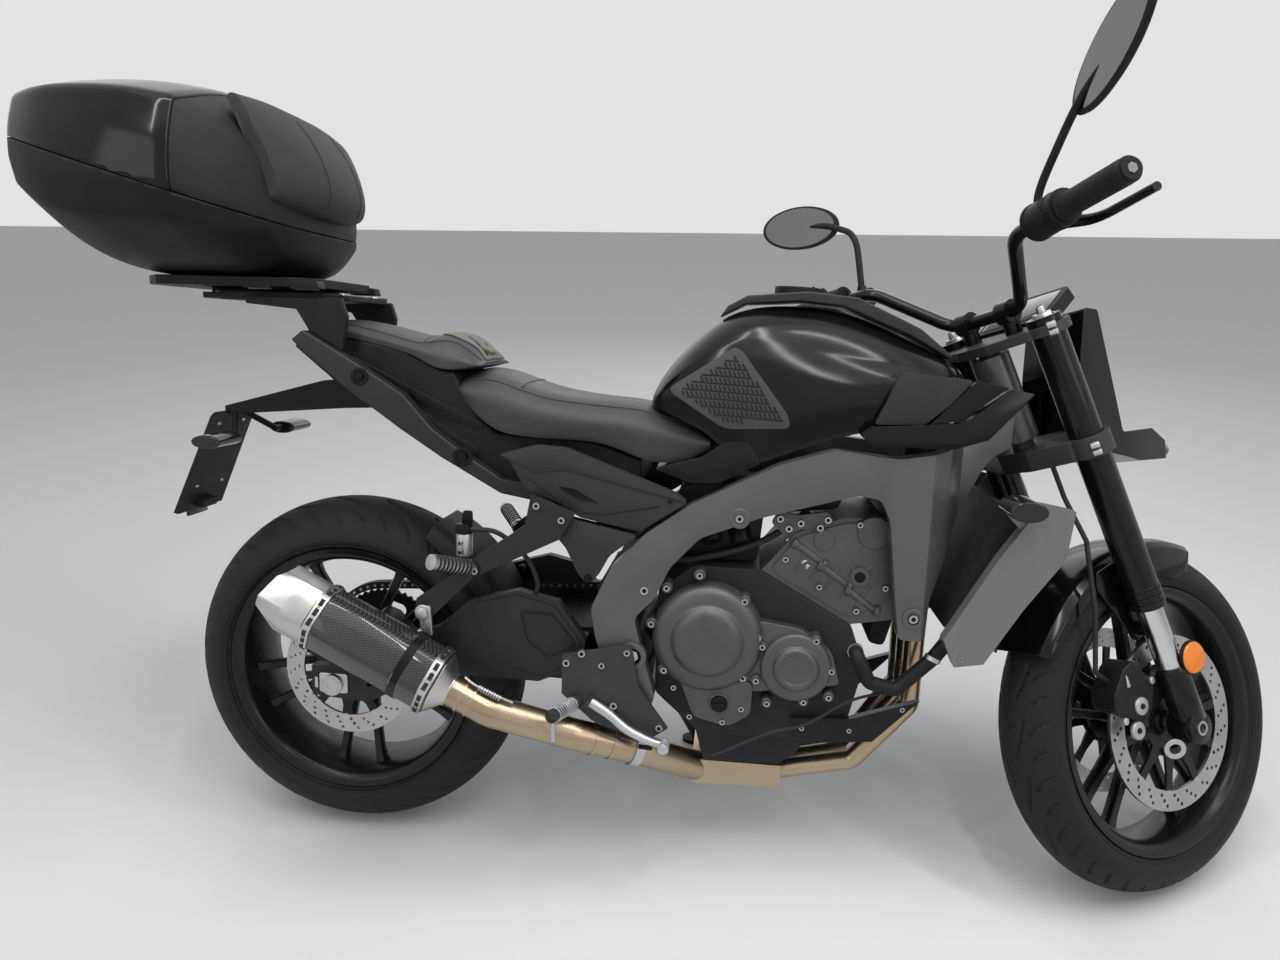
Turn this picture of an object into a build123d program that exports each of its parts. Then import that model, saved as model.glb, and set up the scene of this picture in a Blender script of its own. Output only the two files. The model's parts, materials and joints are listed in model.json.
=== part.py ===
# Standard motorcycle: a three-cylinder roadster with a top case, parked on its side stand.
# Every piece is drawn on the upright machine, x forward with the front axle at front_station,
# y to the left, z up from the road. Then the fork is turned to its stop, and the machine leans on its stand.
import os
from math import asin, cos, degrees, hypot, pi, radians, sin, sqrt

from build123d import *

# Chassis geometry
wheelbase = 1430
front_station = 1430
rake = 24.67
trail = 108
lean = 10.87
steer_lock = 32.57
gap = 0.3  # clearance between pieces that seat on each other

# Wheels: outer radius, tread width, share of the sidewall below the shoulder, rim sizes
rear_radius = 315
rear_tread = 176
rear_shoulder = 0.224
front_radius = 300
front_tread = 118
front_shoulder = 0.34
seat_radius = 216
flange_radius = 231
rear_rim_width = 152
front_rim_width = 104
rim_wall = 6
rear_hub_half = 66
front_hub_half = 59
hub_radius = 36
axle_radius = 12
axle_bore = 8
bore_clearance = 0.05
spoke_pairs = 5

# Brakes and drive
rear_disc_radius = 122.5
rear_disc_y = -71
front_disc_radius = 149
front_disc_y = 64
disc_thickness = 5
front_caliper_at = 152  # degrees round the hub from straight ahead
rear_caliper_at = 42
caliper_depth = 52  # inward from the disc's rim
chain_pitch = 15.875
rear_teeth = 45
front_teeth = 16
chain_y = 104
chain_width = 18
chain_height = 14
sprocket_thickness = 7

# Fork
fork_offset = 33
fork_half = 98
outer_tube_radius = 27
inner_tube_radius = 21
fork_top = 1052
outer_bottom = 540
fork_bottom = 408
top_clamp_at = 1034
lower_clamp_at = 838

# Main frame and swingarm
frame_outer = 150
frame_inner = 114
pivot = (535, 412)
pivot_radius = 31
arm_inner = 116
arm_outer = 136
bobbin_ahead = 66  # of the rear axle
bobbin_radius = 4

# Engine
crank_half = 110
clutch_centre = (660, 442)
clutch_radius = 95
clutch_face = 168
pump_centre = (809, 402)
pump_radius = 60
output_shaft = (615, 425)

# Top case
case_wall = 4
case_half = 285
case_floor = 1022
case_seam_rear = 1236
case_seam_front = 1100
case_rear = -515
case_front = -48
pad_depth = 46

# Tank pads
pad_thickness = 4

# Controls
bar_radius = 11
bar_half = 405
bar_end = (934, 1060)
grip_radius = 17
stand_foot = (640, 288)

sine = sin(radians(rake))
cosine = cos(radians(rake))
steer_foot = Vector(front_station + trail, 0, 0)
steer_up = Vector(-sine, 0, cosine)
fork_plane = Plane(origin=steer_foot, x_dir=(cosine, 0, sine), z_dir=steer_up)
axle_height = trail * sine + front_radius * cosine
rear_x = front_station - wheelbase
rear_hub = Vector(rear_x, 0, rear_radius)
front_hub = Vector(front_station, 0, front_radius)


# A tread's crown is the arc over its width and the height from shoulder to top
def shoulder_radius(radius, share):
    return flange_radius + (radius - flange_radius) * share


def crown_radius(radius, tread, share):
    rise = radius - shoulder_radius(radius, share)
    return ((tread / 2) ** 2 + rise**2) / (2 * rise)


# The pose of the parked machine: a tyre with a round crown touches the road under its crown's circle
def tyre_low(centre, normal, radius, crown):
    return centre.Z - (radius - crown) * sqrt(1 - normal.Z**2) - crown


def leaned(vector, pitch):
    return vector.rotate(Axis.Y, pitch).rotate(Axis.X, -lean)


steer_axis = Axis(steer_foot, steer_up)
turned_hub = Vector(front_hub.X, front_hub.Y, front_hub.Z)
turned_hub = (turned_hub - steer_foot).rotate(Axis((0, 0, 0), steer_up), steer_lock) + steer_foot
turned_normal = Vector(0, 1, 0).rotate(Axis((0, 0, 0), steer_up), steer_lock)
rear_crown = crown_radius(rear_radius, rear_tread, rear_shoulder)
front_crown = crown_radius(front_radius, front_tread, front_shoulder)
pitch = 0.0
for _ in range(12):
    rear_low = tyre_low(leaned(rear_hub, pitch), leaned(Vector(0, 1, 0), pitch), rear_radius, rear_crown)
    front_low = tyre_low(leaned(turned_hub, pitch), leaned(turned_normal, pitch), front_radius, front_crown)
    pitch += degrees((front_low - rear_low) / wheelbase)
stand_plane = Plane(
    origin=(0, 0, -rear_low),
    x_dir=leaned(Vector(1, 0, 0), pitch),
    z_dir=leaned(Vector(0, 0, 1), pitch),
)
parked = stand_plane.location
road = Plane(parked.inverse())


# Outline on the side view at a given y, facing the right side
def side_face(points, y=0.0, radius=0.0):
    with BuildSketch(Plane.XZ.offset(-y)) as face:
        with BuildLine():
            if radius:
                FilletPolyline(*points, radius=radius, close=True)
            else:
                Polyline(*points, close=True)
        make_face()
    return face.sketch


# Outline on the plan view at a given height
def plan_face(points, z=0.0, radius=0.0):
    with BuildSketch(Plane.XY.offset(z)) as face:
        with BuildLine():
            if radius:
                FilletPolyline(*points, radius=radius, close=True)
            else:
                Polyline(*points, close=True)
        make_face()
    return face.sketch


# Outline across the machine at a given x: points are (y, z)
def cross_face(points, x=0.0, radius=0.0):
    with BuildSketch(Plane(origin=(x, 0, 0), x_dir=(0, 1, 0), z_dir=(1, 0, 0))) as face:
        with BuildLine():
            if radius:
                FilletPolyline(*points, radius=radius, close=True)
            else:
                Polyline(*points, close=True)
        make_face()
    return face.sketch


def side_slab(points, y_from, y_to, radius=0.0):
    with BuildPart() as slab:
        extrude(side_face(points, y_from, radius), amount=y_from - y_to)
    return slab.part


def both_sides(points, y_from, y_to, radius=0.0):
    return [side_slab(points, side * y_from, side * y_to, radius) for side in (-1, 1)]


def pipe(points, radius, bends):
    with BuildPart() as tube:
        with BuildLine() as route:
            FilletPolyline(*points, radius=bends)
        with BuildSketch(Plane(origin=route.line @ 0, z_dir=route.line % 0)):
            Circle(radius)
        sweep()
    return tube.part


def rod(start, end, radius):
    start, end = Vector(*start), Vector(*end)
    with BuildPart() as bar:
        with BuildSketch(Plane(origin=start, z_dir=end - start)):
            Circle(radius)
        extrude(amount=(end - start).length)
    return bar.part


# Round piece along y: centre (x, z), radius, from one y to another
def disc(centre, radius, y_from, y_to):
    return rod((centre[0], y_from, centre[1]), (centre[0], y_to, centre[1]), radius)


def mirrored(points):
    return [*points, *[(x, -y) for x, y in reversed(points)]]


# Wheels
def tyre(hub, radius, share, tread, rim_width):
    half = tread / 2
    flange = rim_width / 2 - 6
    shoulder = shoulder_radius(radius, share)
    with BuildPart() as ring:
        with BuildSketch(Plane(origin=hub, x_dir=(0, 1, 0), z_dir=(1, 0, 0))):
            with BuildLine():
                Polyline((-half, shoulder), (-half + 4, flange_radius + 10), (-flange, flange_radius + gap))
                Polyline((-flange, flange_radius + gap), (-flange, seat_radius + gap), (flange, seat_radius + gap))
                Polyline((flange, seat_radius + gap), (flange, flange_radius + gap), (half - 4, flange_radius + 10))
                Line((half - 4, flange_radius + 10), (half, shoulder))
                ThreePointArc((half, shoulder), (0, radius), (-half, shoulder))
            make_face()
        revolve(axis=Axis(hub, (0, 1, 0)))
    return ring.part


def rim(hub, width, hub_half, spread, bore, disc_faces):
    half = width / 2
    flange = half - 6 + gap
    well = seat_radius - rim_wall
    with BuildPart() as wheel:
        with BuildSketch(Plane(origin=hub, x_dir=(0, 1, 0), z_dir=(1, 0, 0))):
            with BuildLine():
                Polyline(
                    (-half, well + 4), (-half, flange_radius), (-flange, flange_radius),
                    (-flange, seat_radius), (flange, seat_radius), (flange, flange_radius),
                    (half, flange_radius), (half, well + 4), (half * 0.6, well - 4), (-half * 0.6, well - 4),
                    close=True,
                )
            make_face()
        revolve(axis=Axis(hub, (0, 1, 0)))
        with BuildSketch(Plane(origin=hub, x_dir=(1, 0, 0), z_dir=(0, -1, 0))):
            with PolarLocations(0, spoke_pairs, start_angle=spread):
                for side in (-1, 1):
                    with BuildLine():
                        Polyline(
                            (hub_radius * 0.8, side * 3), (well - 2, side * 34),
                            (well - 2, side * 50), (hub_radius * 0.8, side * 20), close=True,
                        )
                    make_face()
        extrude(amount=12, both=True)
        with BuildSketch(Plane(origin=hub - Vector(0, hub_half, 0), x_dir=(1, 0, 0), z_dir=(0, 1, 0))):
            Circle(hub_radius)
        extrude(amount=2 * hub_half)
        for face in disc_faces:
            side = 1 if face > 0 else -1
            add(disc((hub.X, hub.Z), hub_radius + 20, face - side * gap, face - side * 14))
        add(disc((hub.X, hub.Z), bore + bore_clearance, -width, width), mode=Mode.SUBTRACT)
    return wheel.part


disc_face = front_disc_y - disc_thickness / 2
rear_tyre = tyre(rear_hub, rear_radius, rear_shoulder, rear_tread, rear_rim_width)
front_tyre = tyre(front_hub, front_radius, front_shoulder, front_tread, front_rim_width)
rear_rim = rim(rear_hub, rear_rim_width, rear_hub_half, 18, axle_radius, [rear_disc_y + disc_thickness / 2])
front_rim = rim(front_hub, front_rim_width, front_hub_half, 54, axle_radius, [-disc_face, disc_face])


def brake_disc(hub, radius, y, arms, carrier):
    band = radius - 30
    with BuildPart() as plate:
        with BuildSketch(Plane(origin=hub + Vector(0, y + disc_thickness / 2, 0), x_dir=(1, 0, 0), z_dir=(0, -1, 0))):
            Circle(radius)
            Circle(band, mode=Mode.SUBTRACT)
            with PolarLocations(0, arms):
                with Locations((carrier + (band - carrier) / 2, 0)):
                    Rectangle(band - carrier + 8, 16)
            Circle(carrier + 4)
            Circle(carrier - 8, mode=Mode.SUBTRACT)
        extrude(amount=disc_thickness)
    return plate.part


disc_carrier = hub_radius + 14
rear_disc = brake_disc(rear_hub, rear_disc_radius, rear_disc_y, 5, disc_carrier)
with BuildPart() as front_discs:
    for side in (-1, 1):
        add(brake_disc(front_hub, front_disc_radius, side * front_disc_y, 5, disc_carrier))

# Rear sprocket: its teeth end inside the rollers of the chain
sprocket_pitch = chain_pitch / (2 * sin(pi / rear_teeth))
small_pitch = chain_pitch / (2 * sin(pi / front_teeth))
tooth_tip = sprocket_pitch - chain_height / 2 - 1.2
tooth_root = tooth_tip - 6
with BuildPart() as rear_sprocket:
    sprocket_plane = Plane(
        origin=rear_hub + Vector(0, chain_y + sprocket_thickness / 2, 0), x_dir=(1, 0, 0), z_dir=(0, -1, 0)
    )
    with BuildSketch(sprocket_plane):
        with BuildLine():
            turns = [i * pi / rear_teeth for i in range(2 * rear_teeth)]
            Polyline(
                *[
                    ((tooth_tip if i % 2 else tooth_root) * cos(t), (tooth_tip if i % 2 else tooth_root) * sin(t))
                    for i, t in enumerate(turns)
                ],
                close=True,
            )
        make_face()
        Circle(hub_radius + 2, mode=Mode.SUBTRACT)
        with PolarLocations(0.68 * tooth_root, 5):
            SlotOverall(44, 26, rotation=90, mode=Mode.SUBTRACT)
    extrude(amount=sprocket_thickness)
    with BuildSketch(sprocket_plane.offset(sprocket_thickness)):
        Circle(hub_radius + 18)
        Circle(axle_radius + 8, mode=Mode.SUBTRACT)
    extrude(amount=chain_y - sprocket_thickness / 2 - rear_hub_half - gap)

# Chain: one loop round both sprockets, its links stepped along the outline
shaft_span = hypot(output_shaft[0] - rear_x, output_shaft[1] - rear_radius)
shaft_slope = degrees(asin((output_shaft[1] - rear_radius) / shaft_span))
wrap = degrees(asin((sprocket_pitch - small_pitch) / shaft_span))


def chain_loop(inset):
    big, small = sprocket_pitch + inset, small_pitch + inset
    with BuildSketch(Plane.XZ.offset(-chain_y - chain_width / 2)) as loop:
        with Locations((rear_x, rear_radius)):
            Circle(big)
        with Locations(output_shaft):
            Circle(small)
        with BuildLine():
            ends = []
            for side in (1, -1):
                turn = radians(shaft_slope + side * (90 - wrap))
                ends.append([
                    (rear_x + big * cos(turn), rear_radius + big * sin(turn)),
                    (output_shaft[0] + small * cos(turn), output_shaft[1] + small * sin(turn)),
                ])
            Polyline(ends[0][0], ends[0][1], ends[1][1], ends[1][0], close=True)
        make_face()
    return loop.sketch


with BuildPart() as drive_chain:
    extrude(chain_loop(chain_height / 2), amount=chain_width)
    extrude(chain_loop(-chain_height / 2), amount=chain_width, mode=Mode.SUBTRACT)

# Axles
with BuildPart() as rear_axle:
    add(disc((rear_x, rear_radius), axle_radius, -arm_outer - 14, arm_outer + 14))
    for side in (-1, 1):
        add(disc((rear_x, rear_radius), 19, side * (arm_outer + gap), side * (arm_outer + 14)))
        add(disc((rear_x, rear_radius), 19, side * (rear_hub_half + 5), side * (arm_inner - gap)))
    add(disc((rear_x, rear_radius), axle_bore, -200, 200), mode=Mode.SUBTRACT)
with BuildPart() as front_axle:
    add(disc((front_hub.X, front_hub.Z), axle_radius, -fork_half - 24, fork_half + 24))
    for side in (-1, 1):
        add(disc((front_hub.X, front_hub.Z), 18, side * (front_hub_half + 5), side * (fork_half - 26 - gap)))
    add(disc((front_hub.X, front_hub.Z), axle_bore, -200, 200), mode=Mode.SUBTRACT)

# Main frame: the side outline, narrowed to the head in plan view
stand_hinge = Vector(566, 122, 262)
stand_axis = Vector(0, 1, 0.24).normalized()
spar_outline = [
    (622, 672), (764, 744), (850, 771), (950, 761), (1028, 774), (1090, 812), (1100, 880), (1150, 860),
    (1148, 776), (1116, 759), (1098, 732), (1056, 646), (1016, 532), (1013, 464), (970, 464), (960, 535), (944, 660),
    (928, 694), (891, 700), (736, 655), (641, 617), (593, 564), (570, 511), (536, 474), (548, 423),
    (575, 336), (560, 300), (525, 297), (502, 349), (471, 435), (462, 487), (494, 558), (551, 620),
]
frame_plan = [(440, frame_outer), (1006, frame_outer - 4), (1036, 122), (1066, 68), (1180, 40)]
frame_plan_inside = [(430, frame_inner), (1000, frame_inner - 2), (1012, 102), (1050, 36), (1180, 8)]
head_low = 866
head_high = 1018
with BuildPart() as main_frame:
    extrude(side_face(spar_outline), amount=frame_outer + 10, both=True)
    extrude(plan_face(mirrored(frame_plan), 280), amount=620, mode=Mode.INTERSECT)
    extrude(plan_face(mirrored(frame_plan_inside), 280), amount=620, mode=Mode.SUBTRACT)
    with BuildSketch(fork_plane.offset(head_low)):
        Circle(31)
    extrude(amount=head_high - head_low)
    add(side_slab([(532, 330), (572, 330), (590, 262), (578, 240), (556, 240), (548, 262)], 100, 114.5))
    add(rod(tuple(stand_hinge - stand_axis * 12), tuple(stand_hinge), 17))
    for cross in ((522, 560), (548, 318)):
        add(disc(cross, 13, -frame_outer + 5, frame_outer - 5))
    add(disc(pivot, 11.7, -frame_inner - 10, frame_inner + 10))
    for side in (-1, 1):
        add(disc(pivot, 24, side * (frame_outer - 5), side * (frame_outer + 7)))
    with BuildSketch(fork_plane.offset(head_low)):
        Circle(18)
    extrude(amount=head_high - head_low, mode=Mode.SUBTRACT)

# Swingarm
arm_outline = [
    (rear_x - 42, 345), (rear_x + 60, 352), (174, 414), (246, 482), (334, 506), (404, 490), (452, 425), (448, 380),
    (371, 345), (191, 347), (rear_x + 60, 283), (rear_x - 42, 290),
]
bobbin = (rear_x + bobbin_ahead, rear_radius + 3)
shock_low = (462, 447)
shock_top = (522, 560)
shock_eye = 13
with BuildPart() as swingarm:
    for arm in both_sides(arm_outline, arm_inner, arm_outer):
        add(arm)
    extrude(side_face([(352, 345), (352, 425), (452, 425), (452, 345)], arm_inner), amount=2 * arm_inner)
    extrude(side_face([(400, 372), (400, 425), (535, 440), (535, 384)], 82), amount=164)
    add(disc(pivot, pivot_radius, -arm_inner + 5, arm_inner - 5))
    add(disc(pivot, 12, -arm_inner, arm_inner), mode=Mode.SUBTRACT)
    add(disc((rear_x, rear_radius), axle_radius + bore_clearance, -200, 200), mode=Mode.SUBTRACT)
    for side in (-1, 1):
        add(side_slab([(448, 400), (448, 450), (456, 459), (468, 459), (476, 450), (476, 400)], side * (14 + gap), side * 26))
        add(disc(bobbin, 13, side * (arm_outer - 1), side * (arm_outer + 6)))
        add(disc(bobbin, bobbin_radius, side * (arm_inner - 1), side * (arm_outer + 7)), mode=Mode.SUBTRACT)

# Shock absorber between the swingarm and the frame's rear cross tube
with BuildPart() as shock_absorber:
    damper = Vector(shock_top[0] - shock_low[0], 0, shock_top[1] - shock_low[1])
    damper_foot = Vector(shock_low[0], 0, shock_low[1])
    along = damper.normalized()
    add(disc(shock_low, shock_eye, -14, 14))
    add(rod(tuple(damper_foot), tuple(damper_foot + along * (damper.length - shock_eye - gap)), 11))
    add(rod(tuple(damper_foot + along * 24), tuple(damper_foot + along * (damper.length - 26)), 26))

# Engine
crank_outline = [
    (572, 330), (572, 515), (630, 560), (740, 560), (900, 470), (925, 400), (905, 310), (850, 262), (650, 262),
]
with BuildPart() as crankcase:
    extrude(side_face(crank_outline, crank_half, 18), amount=2 * crank_half)
    add(side_slab([(540, 355), (540, 500), (690, 500), (690, 355)], 84, 200), mode=Mode.SUBTRACT)
    add(disc(output_shaft, small_pitch - chain_height / 2 - gap, 80, chain_y + chain_width / 2))
    extrude(side_face([(660, 190), (640, 262), (848, 262), (822, 212), (790, 192)], 70), amount=140)

head_outline = [
    (745, 557.6), (800, 625), (878, 655), (958, 655), (990, 620), (998, 574), (966, 519), (990, 500), (984, 488), (897, 472.1),
]
with BuildPart() as cylinder_head:
    extrude(side_face(head_outline, 104), amount=208)
    for step in range(4):
        add(disc((800 + 30 * step, 588 - 17 * step), 5, -108, 108))
    for side in (-1, 1):
        add(disc((984, 506), 15, side * 100, side * (frame_inner - 2 - gap)))

with BuildPart() as engine_covers:
    add(disc(clutch_centre, clutch_radius, -crank_half - gap, -145))
    with BuildSketch(Plane.XZ.offset(145)):
        with Locations(clutch_centre):
            Circle(clutch_radius)
    extrude(amount=clutch_face - 145, taper=28)
    add(side_slab([(700, 360), (742, 352), (889, 372), (870, 430), (814, 470), (742, 480)], -crank_half - gap, -132))
    add(disc(pump_centre, pump_radius, -132, -146))
    add(disc(pump_centre, 36, -146, -154))
    add(side_slab([(612, 372), (640, 300), (700, 285), (740, 310), (742, 372)], -crank_half - gap, -138))
    add(disc((745, 400), 78, crank_half + gap, 148))
    add(side_slab([(574, 394), (562, 470), (600, 492), (700, 492), (700, 394)], 116, 132))

radiator_half = 140
shield_face = 166
with BuildPart() as radiator:
    extrude(
        side_face([(1041, 490), (1082, 462), (1160, 612), (1150, 680), (1118, 692)], radiator_half),
        amount=2 * radiator_half,
    )
    add(pipe([
        (908, -110.3, 430), (908, -137, 430), (930, -137, 385), (975, -130, 372), (1034, -124, 430), (1064, -124, 476),
    ], 12, 13))

shield = [(1168, 703), (1218, 694), (1211, 617), (1155, 533), (1102, 439), (1057, 431), (1037, 476), (1110, 612)]
chin = [(806, 305), (905, 312), (1018, 352), (945, 274), (824, 262)]
with BuildPart() as radiator_covers:
    for cover in both_sides(shield, radiator_half + gap, shield_face):
        add(cover)
    for arm in both_sides([(1112, 690), (1124, 714), (1176, 702), (1140, 660)], 152, 160):
        add(arm)
    for cover in both_sides(chin, crank_half + gap, 124):
        add(cover)

# Exhaust
header_y = (-70, 0, 70)
headers = [
    pipe([(982.8, y, 546.2), (1013, y, 528.6), (1014, y * 0.85, 320), (925, y * 0.6, 200), (790, y * 0.5, 166)], 17, 24)
    for y in header_y
]
with BuildPart() as exhaust_pipes:
    for header in headers:
        add(header)
    extrude(side_face([(640, 140), (640, 186), (800, 186), (800, 145)], 62), amount=124)
    add(pipe([
        (652, -36, 160), (560, -116, 222), (440, -168, 268), (299.8, -202, 315.3), (215.3, -202, 357.9),
    ], 27, 60))

silencer_axis = ((215, -202, 358), (6, -202, 463))
silencer_plane = Plane(origin=silencer_axis[0], x_dir=(0, 1, 0), z_dir=Vector(*silencer_axis[1]) - Vector(*silencer_axis[0]))
silencer_length = (Vector(*silencer_axis[1]) - Vector(*silencer_axis[0])).length
cone = 26
with BuildPart() as silencer_sleeve:
    with BuildSketch(silencer_plane.offset(cone)):
        RegularPolygon(60, 6)
    extrude(amount=silencer_length - cone)
with BuildPart() as silencer_caps:
    with BuildSketch(silencer_plane):
        Circle(32)
    with BuildSketch(silencer_plane.offset(cone - gap)):
        RegularPolygon(58, 6)
    loft()
    with BuildSketch(silencer_plane.offset(52)):
        RegularPolygon(64, 6)
        RegularPolygon(60 + gap, 6, mode=Mode.SUBTRACT)
    extrude(amount=16)
    add(side_slab([(176, 439.2), (195, 429.6), (192, 482), (170, 482)], -170 - gap, -178))
    with BuildSketch(silencer_plane.offset(silencer_length + gap)):
        RegularPolygon(58, 6)
    extrude(amount=96, taper=5)
    with BuildSketch(silencer_plane.offset(silencer_length + 40)):
        Circle(30)
    extrude(amount=70, mode=Mode.SUBTRACT)

# Fuel tank
tank_side = [
    (540, 830), (562, 880), (604, 928), (655, 976), (700, 999), (791, 1005), (859, 998), (971, 952), (1060, 905),
    (1064, 872), (994, 812), (887, 800), (856, 790), (732, 740), (668, 706), (622, 704), (558, 727), (635, 748), (670, 776),
]
tank_plan = [(530, 60), (600, 100), (700, 140), (880, 148), (1000, 125), (1045, 92), (1066, 64)]
tank_cross = [(-105, 690), (-150, 790), (-132, 905), (-60, 1010)]


def tank_block(outline, grow):
    with BuildPart() as block:
        extrude(side_face(outline), amount=160, both=True)
        extrude(
            plan_face(mirrored([(x, y + grow) for x, y in tank_plan]), 600), amount=500, mode=Mode.INTERSECT
        )
        half = [(y - grow, z) for y, z in tank_cross]
        extrude(
            cross_face([*half, *[(-y, z) for y, z in reversed(half)]], 500), amount=600, mode=Mode.INTERSECT
        )
    return block.part


with BuildPart() as fuel_tank:
    add(tank_block(tank_side, 0))

top_cover_side = [
    (655, 977), (700, 1000), (791, 1006), (859, 999), (971, 953), (1038, 917), (1040, 924),
    (985, 966), (880, 1014), (800, 1022), (700, 1014), (668, 996),
]
with BuildPart() as tank_covers:
    extrude(side_face(top_cover_side), amount=160, both=True)
    extrude(
        plan_face(mirrored([(650, 30), (760, 62), (960, 70), (1050, 52)]), 800),
        amount=300, mode=Mode.INTERSECT,
    )
    add(fuel_tank.part, mode=Mode.SUBTRACT)
knee_outline = [(574, 858), (684, 930), (697, 925), (776, 824), (780, 800), (673, 796)]
with BuildPart() as knee_pads:
    add(tank_block(knee_outline, pad_thickness))
    add(tank_block(tank_side, gap), mode=Mode.SUBTRACT)

# Seats
rider_outline = [
    (273, 884), (300, 864), (346, 844), (410, 832), (483, 828), (536, 829), (606, 800), (660, 774), (628, 752),
    (568, 730), (535, 736), (451, 764), (400, 769), (332, 768), (284, 772), (252, 800), (225, 842), (213, 872),
]
with BuildPart() as rider_seat:
    extrude(side_face(rider_outline), amount=160, both=True)
    extrude(
        plan_face(mirrored([(205, 112), (300, 136), (430, 132), (560, 118), (672, 128)]), 700),
        amount=250, mode=Mode.INTERSECT,
    )
    add(fuel_tank.part, mode=Mode.SUBTRACT)
pillion_outline = [
    (-70, 948), (0, 957), (90, 938), (150, 926), (188, 936), (214, 930), (262, 888), (212, 876), (190, 874),
    (120, 906), (0, 928), (-70, 934),
]
with BuildPart() as pillion_seat:
    extrude(side_face(pillion_outline), amount=160, both=True)
    extrude(
        plan_face(mirrored([(-80, 70), (60, 96), (200, 112), (270, 96)]), 800),
        amount=250, mode=Mode.INTERSECT,
    )

tail_outline = [
    (-90, 933), (0, 927.7), (120, 905.7), (190, 873.7), (211, 871.6), (224.6, 841.7), (251.7, 799.7), (283.8, 771.7),
    (332, 767.7), (400, 768.7), (451, 763.7), (535, 735.7), (536, 690), (300, 690), (200, 760), (100, 815), (-20, 850), (-100, 905),
]
with BuildPart() as tail_cover:
    extrude(side_face(tail_outline), amount=102, both=True)
    extrude(
        plan_face(mirrored([(-110, 44), (60, 92), (200, 102), (540, 102)]), 600),
        amount=400, mode=Mode.INTERSECT,
    )
tail_arm_outline = [
    (-42, 936), (62, 876), (131, 834), (182, 777), (242, 734), (302, 697), (400, 690), (560, 652), (577, 640),
    (551, 621), (536, 604.5), (400, 655), (300, 672), (195, 730), (126, 774), (22, 846), (-64, 919),
]
tail_arm_face = 130
with BuildPart() as tail_arms:
    for arm in both_sides(tail_arm_outline, 102 + gap, tail_arm_face):
        add(arm)

cover_upper = [(302, 741), (363, 759), (414, 757), (602, 688), (619, 676), (541, 622), (441, 641), (406, 664), (347, 686), (321, 733)]
cover_lower = [(421, 634), (539, 617), (493, 580), (461, 543)]
with BuildPart() as side_covers:
    for panel in both_sides(cover_upper, tail_arm_face + gap, 154):
        add(panel)
    for panel in both_sides(cover_lower, tail_arm_face + gap, 156):
        add(panel)

# Plate holder hung under the tail
with BuildPart() as plate_holder:
    extrude(side_face([(60, 800), (60, 826), (-16, 848), (-60, 845), (-252, 792), (-252, 776), (-20, 796)], 22), amount=44)
    extrude(side_face([(-252, 776), (-244, 784), (-325, 592), (-334, 594)], 70), amount=140)
    extrude(side_face([(-322, 612), (-326, 600), (-306, 596), (-304, 610)], 22), amount=44)
    for side in (-1, 1):
        add(rod((-236, side * 14, 780), (-206, side * 68, 744), 6))
        add(rod((-205, side * 64, 743), (-205, side * (92 - gap), 743), 6))
with BuildPart() as flashers:
    for side in (-1, 1):
        with BuildSketch(Plane(origin=(-205, side * 92, 742), x_dir=(1, 0, 0), z_dir=(0, side, 0))):
            Ellipse(26, 12)
        extrude(amount=72)
        with BuildSketch(Plane(origin=(1130, side * (160 + gap), 700), x_dir=(1, 0, 0), z_dir=(0, side, 0))):
            Ellipse(28, 16)
        extrude(amount=66)

# Mudguard: a band round the tyre between two angles
def mudguard(hub, radius, half_width, first, last):
    with BuildPart() as band:
        with BuildSketch(Plane(origin=hub + Vector(0, half_width, 0), x_dir=(1, 0, 0), z_dir=(0, -1, 0))):
            with BuildLine():
                CenterArc((0, 0), radius + 3, first, last - first)
                CenterArc((0, 0), radius, first, last - first)
                Line((radius * cos(radians(first)), radius * sin(radians(first))), ((radius + 3) * cos(radians(first)), (radius + 3) * sin(radians(first))))
                Line((radius * cos(radians(last)), radius * sin(radians(last))), ((radius + 3) * cos(radians(last)), (radius + 3) * sin(radians(last))))
            make_face()
        extrude(amount=2 * half_width)
    return band.part


with BuildPart() as rear_hugger:
    add(mudguard(rear_hub, rear_radius + 12, 95, 22, 78))
    for side in (-1, 1):
        turn = radians(30)
        reach = rear_radius + 13
        add(disc((rear_x + reach * cos(turn), rear_radius + reach * sin(turn)), 9, side * 94, side * (arm_inner - gap)))


# Caliper across the rim of a disc, at an angle round the hub
def caliper(hub, radius, angle, y, half):
    face = Plane(
        origin=hub + Vector(0, y + half, 0), x_dir=(cos(radians(angle)), 0, sin(radians(angle))), z_dir=(0, -1, 0)
    )
    with BuildPart() as block:
        with BuildSketch(face):
            with BuildLine():
                FilletPolyline(
                    (radius - caliper_depth, -38), (radius + 8, -46), (radius + 20, -24), (radius + 20, 24),
                    (radius + 8, 46), (radius - caliper_depth, 38), radius=8, close=True,
                )
            make_face()
        extrude(amount=2 * half)
        with BuildSketch(Plane(origin=hub + Vector(0, y + 6, 0), x_dir=(1, 0, 0), z_dir=(0, -1, 0))):
            Circle(radius + 6)
        extrude(amount=12, mode=Mode.SUBTRACT)
    return block.part


with BuildPart() as rear_caliper:
    add(caliper(rear_hub, rear_disc_radius, rear_caliper_at, rear_disc_y, 26))
    with BuildSketch(Plane(origin=rear_hub + Vector(0, -98, 0), x_dir=(1, 0, 0), z_dir=(0, -1, 0))):
        with Locations(Location((0, 0), rear_caliper_at)):
            SlotCenterPoint((60, 0), (120, 0), 40)
        Circle(32)
        Circle(19 + gap, mode=Mode.SUBTRACT)
    extrude(amount=8)

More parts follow.
